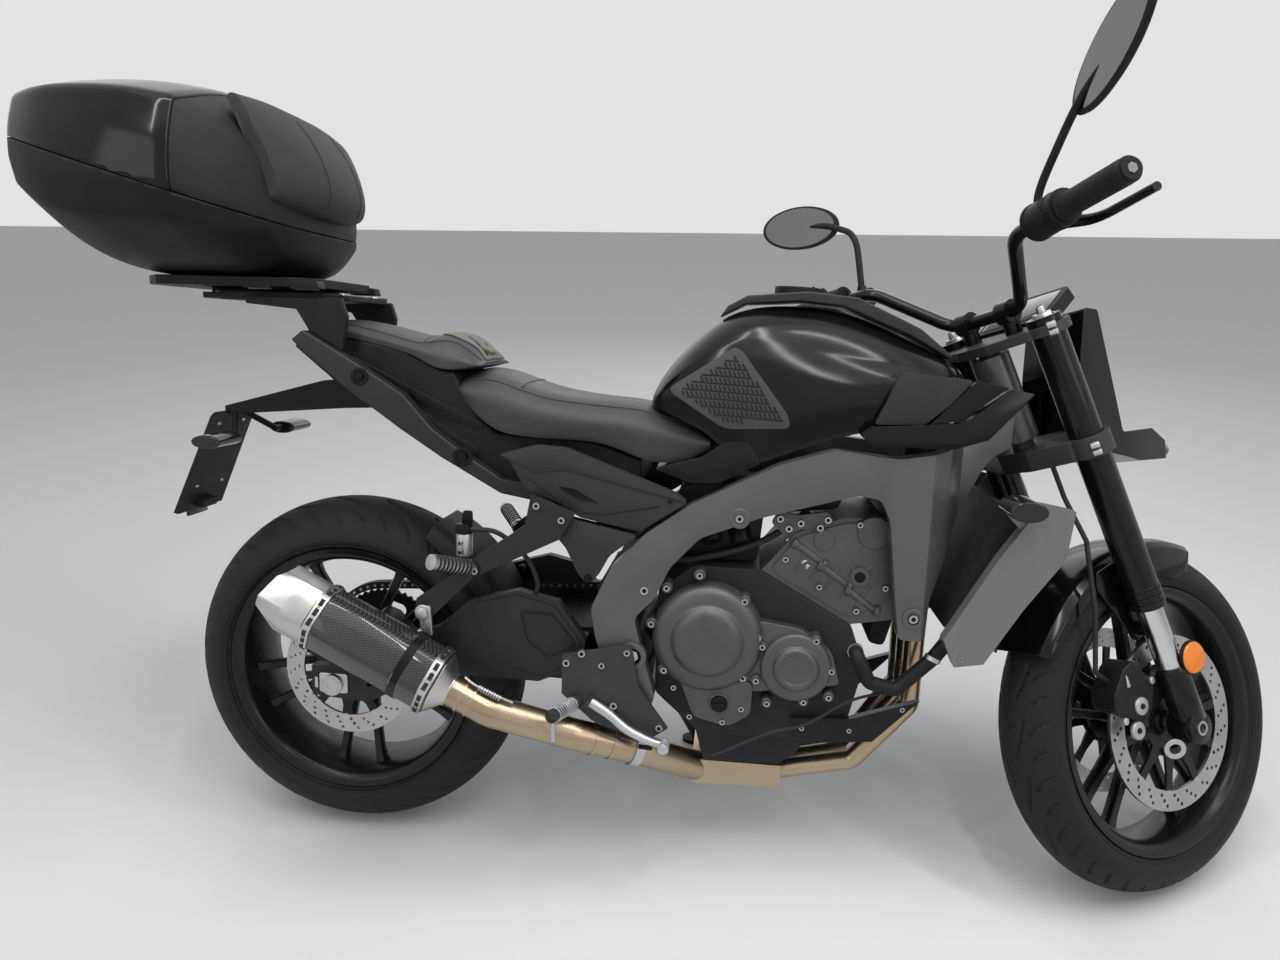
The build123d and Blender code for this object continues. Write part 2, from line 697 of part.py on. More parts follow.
# Foot pegs, heel plates and levers
heel_outline = [(418, 408), (534, 433), (548, 360), (600, 290), (560, 262), (470, 296), (418, 340)]
with BuildPart() as foot_controls:
    for side in (-1, 1):
        add(side_slab(heel_outline, side * 160, side * 168))
        add(disc((520, 330), 12, side * frame_outer, side * 165))
        add(rod((446, side * 162, 326), (420, side * 262, 340), 11))
        add(pipe([(470, side * 176, 330), (530, side * 186, 292), (600, side * 190, 268)], 7, 12))
        add(disc((470, 330), 9, side * 160, side * 182))
with BuildPart() as passenger_pegs:
    for side in (-1, 1):
        add(side_slab([(436, 652), (411, 607), (262, 532), (246, 552), (352, 628), (362, 680)], side * 158, side * 168))
        add(disc((388, 660), 9, side * (tail_arm_face + gap), side * 160))
        add(rod((262, side * 160, 548), (214, side * 232, 574), 13))
    add(side_slab([(276, 545), (256, 556), (166, 492), (162, 462), (194, 462)], -160, -170))

# Luggage rack and top case
with BuildPart() as luggage_rack:
    extrude(plan_face(mirrored([(-260, 60), (-240, 92), (-30, 104), (20, 84)]), 986), amount=10)
    extrude(plan_face(mirrored([(-340, 90), (-300, 130), (-60, 130), (-20, 100)]), 1006), amount=case_floor - gap - 1006)
    extrude(plan_face([(-250, -50), (-250, 50), (-60, 50), (-60, -50)], 994), amount=14)
    for side in (-1, 1):
        add(side_slab([(-150, 990), (20, 990), (30, 960), (20, 901), (-38, 935), (-60, 970), (-150, 978)], side * 103, side * 115))


def case_body(wall):
    half = case_half - wall
    rear = case_rear + wall
    front = case_front - wall
    with BuildPart() as body:
        extrude(
            plan_face(
                mirrored([
                    (rear, 120), (rear + 40, 205), (-380, half - 22), (-250, half), (-150, half - 14),
                    (front - 40, 205), (front - 8, 120),
                ]), case_floor - 10,
            ),
            amount=400,
        )
        extrude(
            side_face([
                (-330 + wall, case_floor + wall), (rear + 100, case_floor + 70), (rear, 1210), (rear + 6, 1255),
                (rear + 50, 1322 - wall), (-400, 1346 - wall), (-250, 1342 - wall), (-150, 1318 - wall),
                (front - 20, 1230), (front, case_seam_front), (front - 50, case_floor + wall),
            ], 0),
            amount=320, both=True, mode=Mode.INTERSECT,
        )
        extrude(
            cross_face([
                (-170 + wall, case_floor + wall), (-half, 1130), (-half, 1215), (-half + 34, 1285 - wall),
                (-90, 1348 - wall), (90, 1348 - wall), (half - 34, 1285 - wall), (half, 1215), (half, 1130),
                (170 - wall, case_floor + wall),
            ], -600),
            amount=700, mode=Mode.INTERSECT,
        )
    return body.part


seam_drop = (case_seam_rear - case_seam_front) / (case_front - case_rear)
with BuildPart() as case_hollow:
    add(case_body(0))
    add(case_body(case_wall), mode=Mode.SUBTRACT)


def below_seam(lift):
    return side_slab(
        [
            (case_rear - 20, case_floor - 20), (case_rear - 20, case_seam_rear + 20 * seam_drop + lift),
            (case_front + 20, case_seam_front - 20 * seam_drop + lift), (case_front + 20, case_floor - 20),
        ], case_half + 20, -case_half - 20,
    )


seam_gap = 1.0
hinge_radius = 6
lid_hinge = (case_front + 2, case_seam_front)


def knuckles(y_from, y_to, rise, reach):
    x, z = lid_hinge
    with BuildPart() as barrels:
        for side in (-1, 1):
            add(disc(lid_hinge, hinge_radius, side * y_from, side * y_to))
            add(side_slab([(x, z), (x, z + rise), (x - 12, z + rise + reach), (x - 12, z + reach)], side * y_from, side * y_to))
    return barrels.part


with BuildPart() as case_shell:
    add(case_hollow.part)
    add(below_seam(0), mode=Mode.INTERSECT)
    add(knuckles(60, 78, -hinge_radius, 0))
with BuildPart() as case_lid:
    add(case_hollow.part)
    add(below_seam(seam_gap), mode=Mode.SUBTRACT)
    add(knuckles(78 + gap, 96, hinge_radius, 4.5))
with BuildPart() as lid_pad:
    extrude(
        side_face([(-180, 1320), (-130, 1326), (-30, 1235), (-6, 1160), (-20, 1122), (-60, 1118), (-190, 1310)], 190),
        amount=380,
    )
    extrude(
        plan_face(mirrored([(-220, 188), (-110, 188), (-40, 120), (-6, 50)]), 1000), amount=400, mode=Mode.INTERSECT
    )
    add(case_body(-gap), mode=Mode.SUBTRACT)

# Side stand: hinged on a lug under the left leg of the frame, its foot flat on the road
with BuildPart() as side_stand:
    with BuildSketch(road):
        with Locations(stand_foot):
            Ellipse(34, 18)
    extrude(amount=9)
    foot = road.from_local_coords(Vector(stand_foot[0], stand_foot[1], 8))
    add(rod(tuple(stand_hinge + stand_axis * 10), tuple(foot), 10))
    add(rod(tuple(stand_hinge + stand_axis * gap), tuple(stand_hinge + stand_axis * 20), 19))

# Fork, seen along the steering axis; each caliper sits on a lug of its fork bottom
caliper_foot = front_disc_radius - caliper_depth
caliper_out = Vector(cos(radians(front_caliper_at)), 0, sin(radians(front_caliper_at)))
caliper_round = Vector(sin(radians(front_caliper_at)), 0, -cos(radians(front_caliper_at)))
with BuildPart() as fork_outers:
    with BuildSketch(fork_plane.offset(outer_bottom)):
        with Locations((fork_offset, fork_half), (fork_offset, -fork_half)):
            Circle(outer_tube_radius)
            Circle(inner_tube_radius + gap, mode=Mode.SUBTRACT)
    extrude(amount=fork_top - outer_bottom)
with BuildPart() as fork_inners:
    with BuildSketch(fork_plane.offset(fork_bottom - 20)):
        with Locations((fork_offset, fork_half), (fork_offset, -fork_half)):
            Circle(inner_tube_radius)
    extrude(amount=fork_top - 12 - fork_bottom + 20)
    for side in (-1, 1):
        with BuildSketch(Plane(origin=front_hub + Vector(0, side * (fork_half + 22), 0), x_dir=(1, 0, 0), z_dir=(0, -side, 0))):
            Circle(27)
        extrude(amount=40)
        foot_top = fork_plane.from_local_coords(Vector(fork_offset, side * fork_half, fork_bottom + 10))
        foot_low = fork_plane.from_local_coords(Vector(fork_offset, side * fork_half, axle_height + 10))
        add(rod(tuple(foot_low), tuple(foot_top), 26))
        lug = [
            front_hub + caliper_out * out + caliper_round * round_
            for out, round_ in ((74, -38), (caliper_foot - gap, -38), (caliper_foot - gap, 44), (95, 70), (58, 52))
        ]
        add(side_slab([(p.X, p.Z) for p in lug], side * 74, side * 86))
    add(disc((front_hub.X, front_hub.Z), axle_radius + gap, -200, 200), mode=Mode.SUBTRACT)


def clamp(height, thickness, forward, back):
    with BuildPart() as block:
        with BuildSketch(fork_plane.offset(height)):
            with Locations((fork_offset, fork_half), (fork_offset, -fork_half)):
                Circle(outer_tube_radius + 9)
            with BuildLine():
                FilletPolyline(
                    (forward, -fork_half), (forward, fork_half), (back + 30, fork_half), (back, 30), (back, -30),
                    (back + 30, -fork_half), radius=12, close=True,
                )
            make_face()
        extrude(amount=thickness)
        with BuildSketch(fork_plane.offset(height)):
            with Locations((fork_offset, fork_half), (fork_offset, -fork_half)):
                Circle(outer_tube_radius + gap)
        extrude(amount=thickness, mode=Mode.SUBTRACT)
    return block.part


clamp_ahead = 24
with BuildPart() as fork_clamps:
    add(clamp(top_clamp_at - 8, 16, fork_offset + clamp_ahead, -36))
    add(clamp(lower_clamp_at - 22, 34, fork_offset + clamp_ahead, -34))
    with BuildSketch(fork_plane.offset(lower_clamp_at - 10)):
        Circle(17.95)
    extrude(amount=top_clamp_at - lower_clamp_at + 10)

bar_centre = fork_plane.from_local_coords(Vector(22, 0, top_clamp_at + 44))
bar_path = [
    (bar_end[0], -bar_half, bar_end[1]), (1000, -165, 1064), (bar_centre.X, -75, bar_centre.Z),
    (bar_centre.X, 75, bar_centre.Z), (1000, 165, 1064), (bar_end[0], bar_half, bar_end[1]),
]
with BuildPart() as handlebar:
    add(pipe(bar_path, bar_radius, 55))
    for side in (-1, 1):
        foot = fork_plane.from_local_coords(Vector(22, side * 45, top_clamp_at + 8 + gap))
        add(rod(tuple(foot), (bar_centre.X, side * 45, bar_centre.Z), 14))
        add(disc((bar_centre.X, bar_centre.Z), 20, side * 33, side * 57))


def along_bar(side, share):
    inner, outer = Vector(1000, side * 165, 1064), Vector(bar_end[0], side * bar_half, bar_end[1])
    return inner + (outer - inner) * share


with BuildPart() as grips:
    for side in (-1, 1):
        add(rod(tuple(along_bar(side, 0.5)), tuple(along_bar(side, 0.995)), grip_radius))
    add(handlebar.part, mode=Mode.SUBTRACT)
with BuildPart() as hand_controls:
    for side in (-1, 1):
        add(rod(tuple(along_bar(side, 0.24)), tuple(along_bar(side, 0.49)), 26))
        add(rod(tuple(along_bar(side, 0.14) + Vector(30, 0, 2)), tuple(along_bar(side, 0.34) + Vector(30, 0, 2)), 14))
        add(pipe([
            tuple(along_bar(side, 0.3) + Vector(40, 0, 0)), tuple(along_bar(side, 0.5) + Vector(60, 0, -8)),
            tuple(along_bar(side, 0.96) + Vector(54, 0, -10)),
        ], 6, 30))
    add(handlebar.part, mode=Mode.SUBTRACT)
with BuildPart() as mirrors:
    for side in (-1, 1):
        add(pipe([
            tuple(along_bar(side, 0.2) + Vector(30, 0, 16.3)), tuple(along_bar(side, 0.22) + Vector(24, 0, 130)),
            tuple(along_bar(side, 0.6) + Vector(50, 0, 180)),
        ], 6, 28))
        centre = along_bar(side, 0.88) + Vector(46, 0, 195)
        with BuildSketch(Plane(origin=centre, x_dir=(-0.3, side * 0.93, 0.22), z_dir=(1, side * 0.33, 0.0))):
            Ellipse(98, 44)
        extrude(amount=16)

with BuildPart() as meter:
    meter_plane = Plane(origin=fork_plane.from_local_coords(Vector(110, 0, top_clamp_at + 8)), x_dir=(0, 1, 0), z_dir=(-0.7, 0, 0.72))
    with BuildSketch(meter_plane):
        RectangleRounded(150, 90, 12)
    extrude(amount=22)
    with BuildSketch(fork_plane.offset(top_clamp_at - 6)):
        with Locations((fork_offset + clamp_ahead + gap + 14, 0)):
            Rectangle(28, 60)
    extrude(amount=14)
with BuildPart() as headlight:
    extrude(
        side_face([
            (1262, 770), (1250, 900), (1268, 1010), (1300, 1010), (1352, 800), (1440, 812), (1505, 780), (1490, 760), (1400, 752),
        ], 62, 6), amount=124,
    )
    extrude(
        plan_face(mirrored([(1240, 62), (1360, 60), (1480, 44), (1510, 20)]), 740),
        amount=300, mode=Mode.INTERSECT,
    )
    with BuildSketch(fork_plane.offset(lower_clamp_at - 16)):
        with Locations((fork_offset + clamp_ahead + gap + 32, 0)):
            Rectangle(64, 50)
    extrude(amount=22)

fender_half = 68
stay_at = 495
with BuildPart() as front_fender:
    add(mudguard(front_hub, front_radius + 12, fender_half, 66, 156))
    for side in (-1, 1):
        with BuildSketch(fork_plane.offset(stay_at - 14)):
            with Locations((fork_offset, side * fork_half)):
                Circle(inner_tube_radius + 5)
        extrude(amount=28)
        stay = [
            fork_plane.from_local_coords(Vector(x, 0, h))
            for x, h in ((10, stay_at - 14), (56, stay_at - 14), (70, 600), (60, 626), (-20, 626), (-30, 600))
        ]
        add(side_slab([(p.X, p.Z) for p in stay], side * (fender_half - 2), side * (fender_half + 1)))
        foot = fork_plane.from_local_coords(Vector(fork_offset, 0, stay_at))
        add(disc((foot.X, foot.Z), 12, side * fender_half, side * (fork_half - inner_tube_radius)))
    with BuildSketch(fork_plane.offset(stay_at - 40)):
        with Locations((fork_offset, fork_half), (fork_offset, -fork_half)):
            Circle(inner_tube_radius + gap)
    extrude(amount=200, mode=Mode.SUBTRACT)
with BuildPart() as front_calipers:
    for side in (-1, 1):
        add(caliper(front_hub, front_disc_radius, front_caliper_at, side * front_disc_y, 24))
with BuildPart() as brake_hoses:
    for side in (-1, 1):
        add(pipe([
            tuple(fork_plane.from_local_coords(Vector(x, side * y, h)))
            for x, y, h in (
                (-76.2, 64, 453.3), (-96.5, 68, 480), (-70, 87, 580), (-36, 88, 690), (-18, 60, 760),
                (-18, 60, lower_clamp_at - 22 - gap),
            )
        ], 4, 12))

chassis = {
    "main_frame": main_frame, "tail_arms": tail_arms, "tail_cover": tail_cover, "crankcase": crankcase,
    "cylinder_head": cylinder_head, "engine_covers": engine_covers, "radiator": radiator,
    "radiator_covers": radiator_covers, "exhaust_pipes": exhaust_pipes, "silencer_sleeve": silencer_sleeve,
    "silencer_caps": silencer_caps, "fuel_tank": fuel_tank, "tank_covers": tank_covers, "knee_pads": knee_pads,
    "side_covers": side_covers, "rider_seat": rider_seat, "pillion_seat": pillion_seat,
    "plate_holder": plate_holder, "flashers": flashers, "swingarm": swingarm, "shock_absorber": shock_absorber,
    "rear_hugger": rear_hugger, "drive_chain": drive_chain, "rear_caliper": rear_caliper,
    "foot_controls": foot_controls, "passenger_pegs": passenger_pegs, "luggage_rack": luggage_rack,
    "case_shell": case_shell, "rear_axle": rear_axle, "rear_rim": rear_rim, "rear_tyre": rear_tyre,
    "rear_disc": rear_disc, "rear_sprocket": rear_sprocket, "side_stand": side_stand, "case_lid": case_lid,
    "lid_pad": lid_pad,
}
steering = {
    "fork_outers": fork_outers, "fork_inners": fork_inners, "fork_clamps": fork_clamps, "handlebar": handlebar,
    "grips": grips, "hand_controls": hand_controls, "mirrors": mirrors, "meter": meter, "headlight": headlight,
    "front_fender": front_fender, "front_calipers": front_calipers, "brake_hoses": brake_hoses,
    "front_axle": front_axle, "front_rim": front_rim, "front_tyre": front_tyre, "front_discs": front_discs,
}

placed = {}
for name, piece in {**chassis, **steering}.items():
    shape = piece.part if hasattr(piece, "part") else piece
    if name in steering:
        shape = shape.rotate(steer_axis, steer_lock)
    placed[name] = shape.moved(parked)
boxes = [shape.bounding_box() for shape in placed.values()]
low_x, high_x = min(box.min.X for box in boxes), max(box.max.X for box in boxes)
low_y, high_y = min(box.min.Y for box in boxes), max(box.max.Y for box in boxes)
origin = Location((-(low_x + high_x) / 2, -(low_y + high_y) / 2, -min(box.min.Z for box in boxes)))

os.makedirs("parts", exist_ok=True)
for name, shape in placed.items():
    shape = shape.moved(origin)
    shape.label = name
    export_step(shape, f"parts/{name}.step")
print("length", round(high_x - low_x), "width", round(high_y - low_y))
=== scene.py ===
import json
import math
import bpy
import bmesh
from mathutils import Matrix, Vector
from mathutils.bvhtree import BVHTree


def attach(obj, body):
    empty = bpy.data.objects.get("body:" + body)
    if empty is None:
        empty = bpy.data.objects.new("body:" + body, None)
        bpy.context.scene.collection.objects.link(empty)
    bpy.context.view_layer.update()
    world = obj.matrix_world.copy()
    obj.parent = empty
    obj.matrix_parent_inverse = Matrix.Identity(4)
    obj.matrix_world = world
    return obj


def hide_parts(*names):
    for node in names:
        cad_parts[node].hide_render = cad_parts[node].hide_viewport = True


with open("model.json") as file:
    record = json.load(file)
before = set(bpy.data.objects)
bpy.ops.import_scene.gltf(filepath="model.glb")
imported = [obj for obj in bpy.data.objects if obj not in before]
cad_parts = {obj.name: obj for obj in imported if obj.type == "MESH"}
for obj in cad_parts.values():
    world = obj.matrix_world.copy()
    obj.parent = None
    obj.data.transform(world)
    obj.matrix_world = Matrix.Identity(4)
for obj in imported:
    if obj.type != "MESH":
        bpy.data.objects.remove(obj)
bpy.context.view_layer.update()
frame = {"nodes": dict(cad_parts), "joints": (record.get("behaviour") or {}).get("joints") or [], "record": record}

scene = bpy.context.scene

# The upright machine in millimetres: x forward from the rear axle, y left, z up from the road.
stance = {
    "lean": 10.87, "pitch": 0.38248, "rake": 24.67, "lock": 32.57, "steerFoot": 1538.0, "rearRadius": 315.0,
    "frontRadius": 300.0, "wheelbase": 1430.0,
}
joints = {joint["name"]: joint for joint in frame["joints"]}
rearAt = Vector(joints["rear_wheel_spin"]["pos_m"])
lean = Matrix.Rotation(
    math.radians(-stance["lean"]), 4, "X",
) @ Matrix.Rotation(math.radians(stance["pitch"]), 4, "Y")
chassisPose = Matrix.Translation(rearAt) @ lean @ Matrix.Translation(
    (0, 0, -stance["rearRadius"] / 1000)
) @ Matrix.Scale(0.001, 4)
sine, cosine = math.sin(math.radians(stance["rake"])), math.cos(math.radians(stance["rake"]))
steerUp = Vector((-sine, 0, cosine))
steerAhead = Vector((cosine, 0, sine))
steerFoot = Vector((stance["steerFoot"], 0, 0))
steerPose = chassisPose @ Matrix.Translation(steerFoot) @ Matrix.Rotation(
    math.radians(stance["lock"]), 4, steerUp,
) @ Matrix.Translation(-steerFoot)
posesByBody = {
    "chassis": chassisPose, "rear_wheel": chassisPose, "side_stand": chassisPose, "case_lid": chassisPose,
    "steering": steerPose, "front_wheel": steerPose,
}
rearHub = Vector((0, 0, stance["rearRadius"]))
frontHub = Vector((stance["wheelbase"], 0, stance["frontRadius"]))


square = ((-1, -1), (1, -1), (1, 1), (-1, 1))  # the corners of every small block
left = Vector((0, 1, 0))


def onFork(ahead, side, height):  # a point given along the steering axis
    return steerFoot + steerAhead * ahead + Vector((0, side, 0)) + steerUp * height


# materials
def sockets(tree, inputs, outputs):  # an input has its value, or its kind where it has none
    kinds = {float: "Float", int: "Int", tuple: "Color"}
    for label, value in inputs.items():
        kind = value if isinstance(value, str) else kinds[type(value)]
        socket = tree.interface.new_socket(label, in_out="INPUT", socket_type="NodeSocket" + kind)
        if kind != value:
            socket.default_value = value
    for label, kind in outputs.items():
        tree.interface.new_socket(label, in_out="OUTPUT", socket_type="NodeSocket" + kind)
    return tree, tree.nodes.new("NodeGroupInput"), tree.nodes.new("NodeGroupOutput")


def group(name, inputs, outputs):
    return sockets(bpy.data.node_groups.new(name, "ShaderNodeTree"), inputs, outputs)


def node(tree, kind, values=None, **settings):
    made = tree.nodes.new(kind)
    for key, value in settings.items():
        setattr(made, key, value)
    for key, value in (values or {}).items():
        made.inputs[key].default_value = value
    return made


def wire(tree, *links):  # each link is a node, its output, the next node and its input
    for source, output, target, entry in links:
        tree.links.new(source.outputs[output], target.inputs[entry])


def makeGrain():  # fine moulded or cast grain: a height and a slow mottle
    tree, give, out = group(
        "surfaceGrain", {"Vector": "Vector", "Scale": 900.0, "Mottle Scale": 12.0, "Pebble": 0.5},
        {"Height": "Float", "Mottle": "Float"},
    )
    fine = node(tree, "ShaderNodeTexNoise", {"Detail": 3.0, "Roughness": 0.6})
    cells = node(tree, "ShaderNodeTexVoronoi", feature="SMOOTH_F1")
    blend = node(tree, "ShaderNodeMix")
    slow = node(tree, "ShaderNodeTexNoise", {"Detail": 5.0, "Roughness": 0.62})
    for target in (fine, cells, slow):
        wire(tree, (give, "Vector", target, "Vector"))
    wire(
        tree, (give, "Scale", fine, "Scale"), (give, "Scale", cells, "Scale"),
        (give, "Mottle Scale", slow, "Scale"), (give, "Pebble", blend, 0), (fine, "Fac", blend, 2),
        (cells, "Distance", blend, 3), (blend, 0, out, "Height"), (slow, "Fac", out, "Mottle"),
    )
    return tree


def makeDust():  # pale dust that lies on upward faces and in patches
    tree, give, out = group(
        "dustFilm",
        {
            "Vector": "Vector", "Color": (0.1, 0.1, 0.1, 1), "Dust": (0.32, 0.3, 0.27, 1), "Amount": 0.2,
            "Scale": 7.0,
        },
        {"Color": "Color", "Mask": "Float"},
    )
    facing = node(tree, "ShaderNodeNewGeometry")
    split = node(tree, "ShaderNodeSeparateXYZ")
    up = node(tree, "ShaderNodeMapRange", {"From Min": -0.4, "From Max": 1.0, "To Min": 0.25, "To Max": 1.0})
    patch = node(tree, "ShaderNodeTexNoise", {"Detail": 6.0, "Roughness": 0.7})
    spread = node(tree, "ShaderNodeMapRange", {"From Min": 0.35, "From Max": 0.75})
    both = node(tree, "ShaderNodeMath", operation="MULTIPLY")
    scaled = node(tree, "ShaderNodeMath", operation="MULTIPLY", use_clamp=True)
    blend = node(tree, "ShaderNodeMix", data_type="RGBA")
    wire(
        tree, (facing, "Normal", split, 0), (split, "Z", up, "Value"), (give, "Vector", patch, "Vector"),
        (give, "Scale", patch, "Scale"), (patch, "Fac", spread, "Value"), (up, "Result", both, 0),
        (spread, "Result", both, 1), (both, 0, scaled, 0), (give, "Amount", scaled, 1),
        (scaled, 0, blend, 0), (give, "Color", blend, 6), (give, "Dust", blend, 7),
        (blend, 2, out, "Color"), (scaled, 0, out, "Mask"),
    )
    return tree


def makeWeave():  # twill squares: a colour factor and a height
    tree, give, out = group(
        "twillWeave", {"Vector": "Vector", "Threads": 330.0}, {"Factor": "Float", "Height": "Float"},
    )
    scaled = node(tree, "ShaderNodeVectorMath", operation="SCALE")
    parts = node(tree, "ShaderNodeSeparateXYZ")
    warp = node(tree, "ShaderNodeMath", operation="ADD")
    weft = node(tree, "ShaderNodeMath", operation="SUBTRACT")
    waves = []
    for source in (warp, weft):
        wave = node(tree, "ShaderNodeMath", operation="SINE")
        wire(tree, (source, 0, wave, 0))
        waves.append(wave)
    product = node(tree, "ShaderNodeMath", operation="MULTIPLY")
    edge = node(tree, "ShaderNodeMapRange", {"From Min": -0.25, "From Max": 0.25})
    wire(
        tree, (give, "Vector", scaled, 0), (give, "Threads", scaled, "Scale"), (scaled, 0, parts, 0),
        (parts, "X", warp, 0), (parts, "Z", warp, 1), (parts, "X", weft, 0), (parts, "Z", weft, 1),
        (waves[0], 0, product, 0), (waves[1], 0, product, 1), (product, 0, edge, "Value"),
        (edge, "Result", out, "Factor"), (product, 0, out, "Height"),
    )
    return tree


grainGroup, dustGroup, weaveGroup = makeGrain(), makeDust(), makeWeave()


def finish(
    name, color, rough, metal=0.0, coat=0.0, grain=900.0, depth=0.0004, pebble=0.5, mottle=0.12, patch=12.0,
    dust=0.12, dustColor=(0.30, 0.285, 0.26), spread=0.1, second=None, stretch=(1, 1, 1), weave=0.0,
    spec=0.17,
):
    made = bpy.data.materials.new(name)
    made.use_nodes = True
    tree = made.node_tree
    shader = tree.nodes["Principled BSDF"]
    shader.inputs["Metallic"].default_value = metal
    shader.inputs["Coat Weight"].default_value = coat
    shader.inputs["Coat Roughness"].default_value = 0.06
    shader.inputs["Specular IOR Level"].default_value = spec
    where = node(tree, "ShaderNodeTexCoord")
    place = node(tree, "ShaderNodeMapping", {"Scale": stretch})
    grainNode = node(tree, "ShaderNodeGroup", node_tree=grainGroup)
    grainNode.inputs["Scale"].default_value = grain
    grainNode.inputs["Mottle Scale"].default_value = patch
    grainNode.inputs["Pebble"].default_value = pebble
    wire(tree, (where, "Object", place, "Vector"), (place, "Vector", grainNode, "Vector"))
    tint = node(tree, "ShaderNodeMix", data_type="RGBA")
    other = second or tuple(channel * (1 + mottle * 2.2) for channel in color)
    tint.inputs[6].default_value = (*color, 1)
    tint.inputs[7].default_value = (*other, 1)
    wire(tree, (grainNode, "Mottle", tint, 0))
    base = tint.outputs[2]
    height = grainNode.outputs["Height"]
    if weave:
        weaveNode = node(tree, "ShaderNodeGroup", node_tree=weaveGroup)
        weaveNode.inputs["Threads"].default_value = weave
        wire(tree, (where, "Object", weaveNode, "Vector"))
        threads = node(tree, "ShaderNodeMix", data_type="RGBA")
        threads.inputs[6].default_value = (*[channel * 0.25 for channel in color], 1)
        wire(tree, (weaveNode, "Factor", threads, 0))
        tree.links.new(base, threads.inputs[7])
        base, height = threads.outputs[2], weaveNode.outputs["Height"]
    dustNode = node(tree, "ShaderNodeGroup", node_tree=dustGroup)
    dustNode.inputs["Amount"].default_value = dust * 0.5
    dustNode.inputs["Dust"].default_value = (*dustColor, 1)
    wire(tree, (where, "Object", dustNode, "Vector"))
    tree.links.new(base, dustNode.inputs["Color"])
    wire(tree, (dustNode, "Color", shader, "Base Color"))
    duller = node(
        tree, "ShaderNodeMapRange",
        {"From Min": 0.3, "From Max": 0.7, "To Min": rough - spread / 2, "To Max": rough + spread},
    )
    wire(tree, (grainNode, "Mottle", duller, "Value"), (duller, "Result", shader, "Roughness"))
    bump = node(tree, "ShaderNodeBump", {"Strength": 0.6, "Distance": depth})
    tree.links.new(height, bump.inputs["Height"])
    wire(tree, (bump, "Normal", shader, "Normal"))
    return made


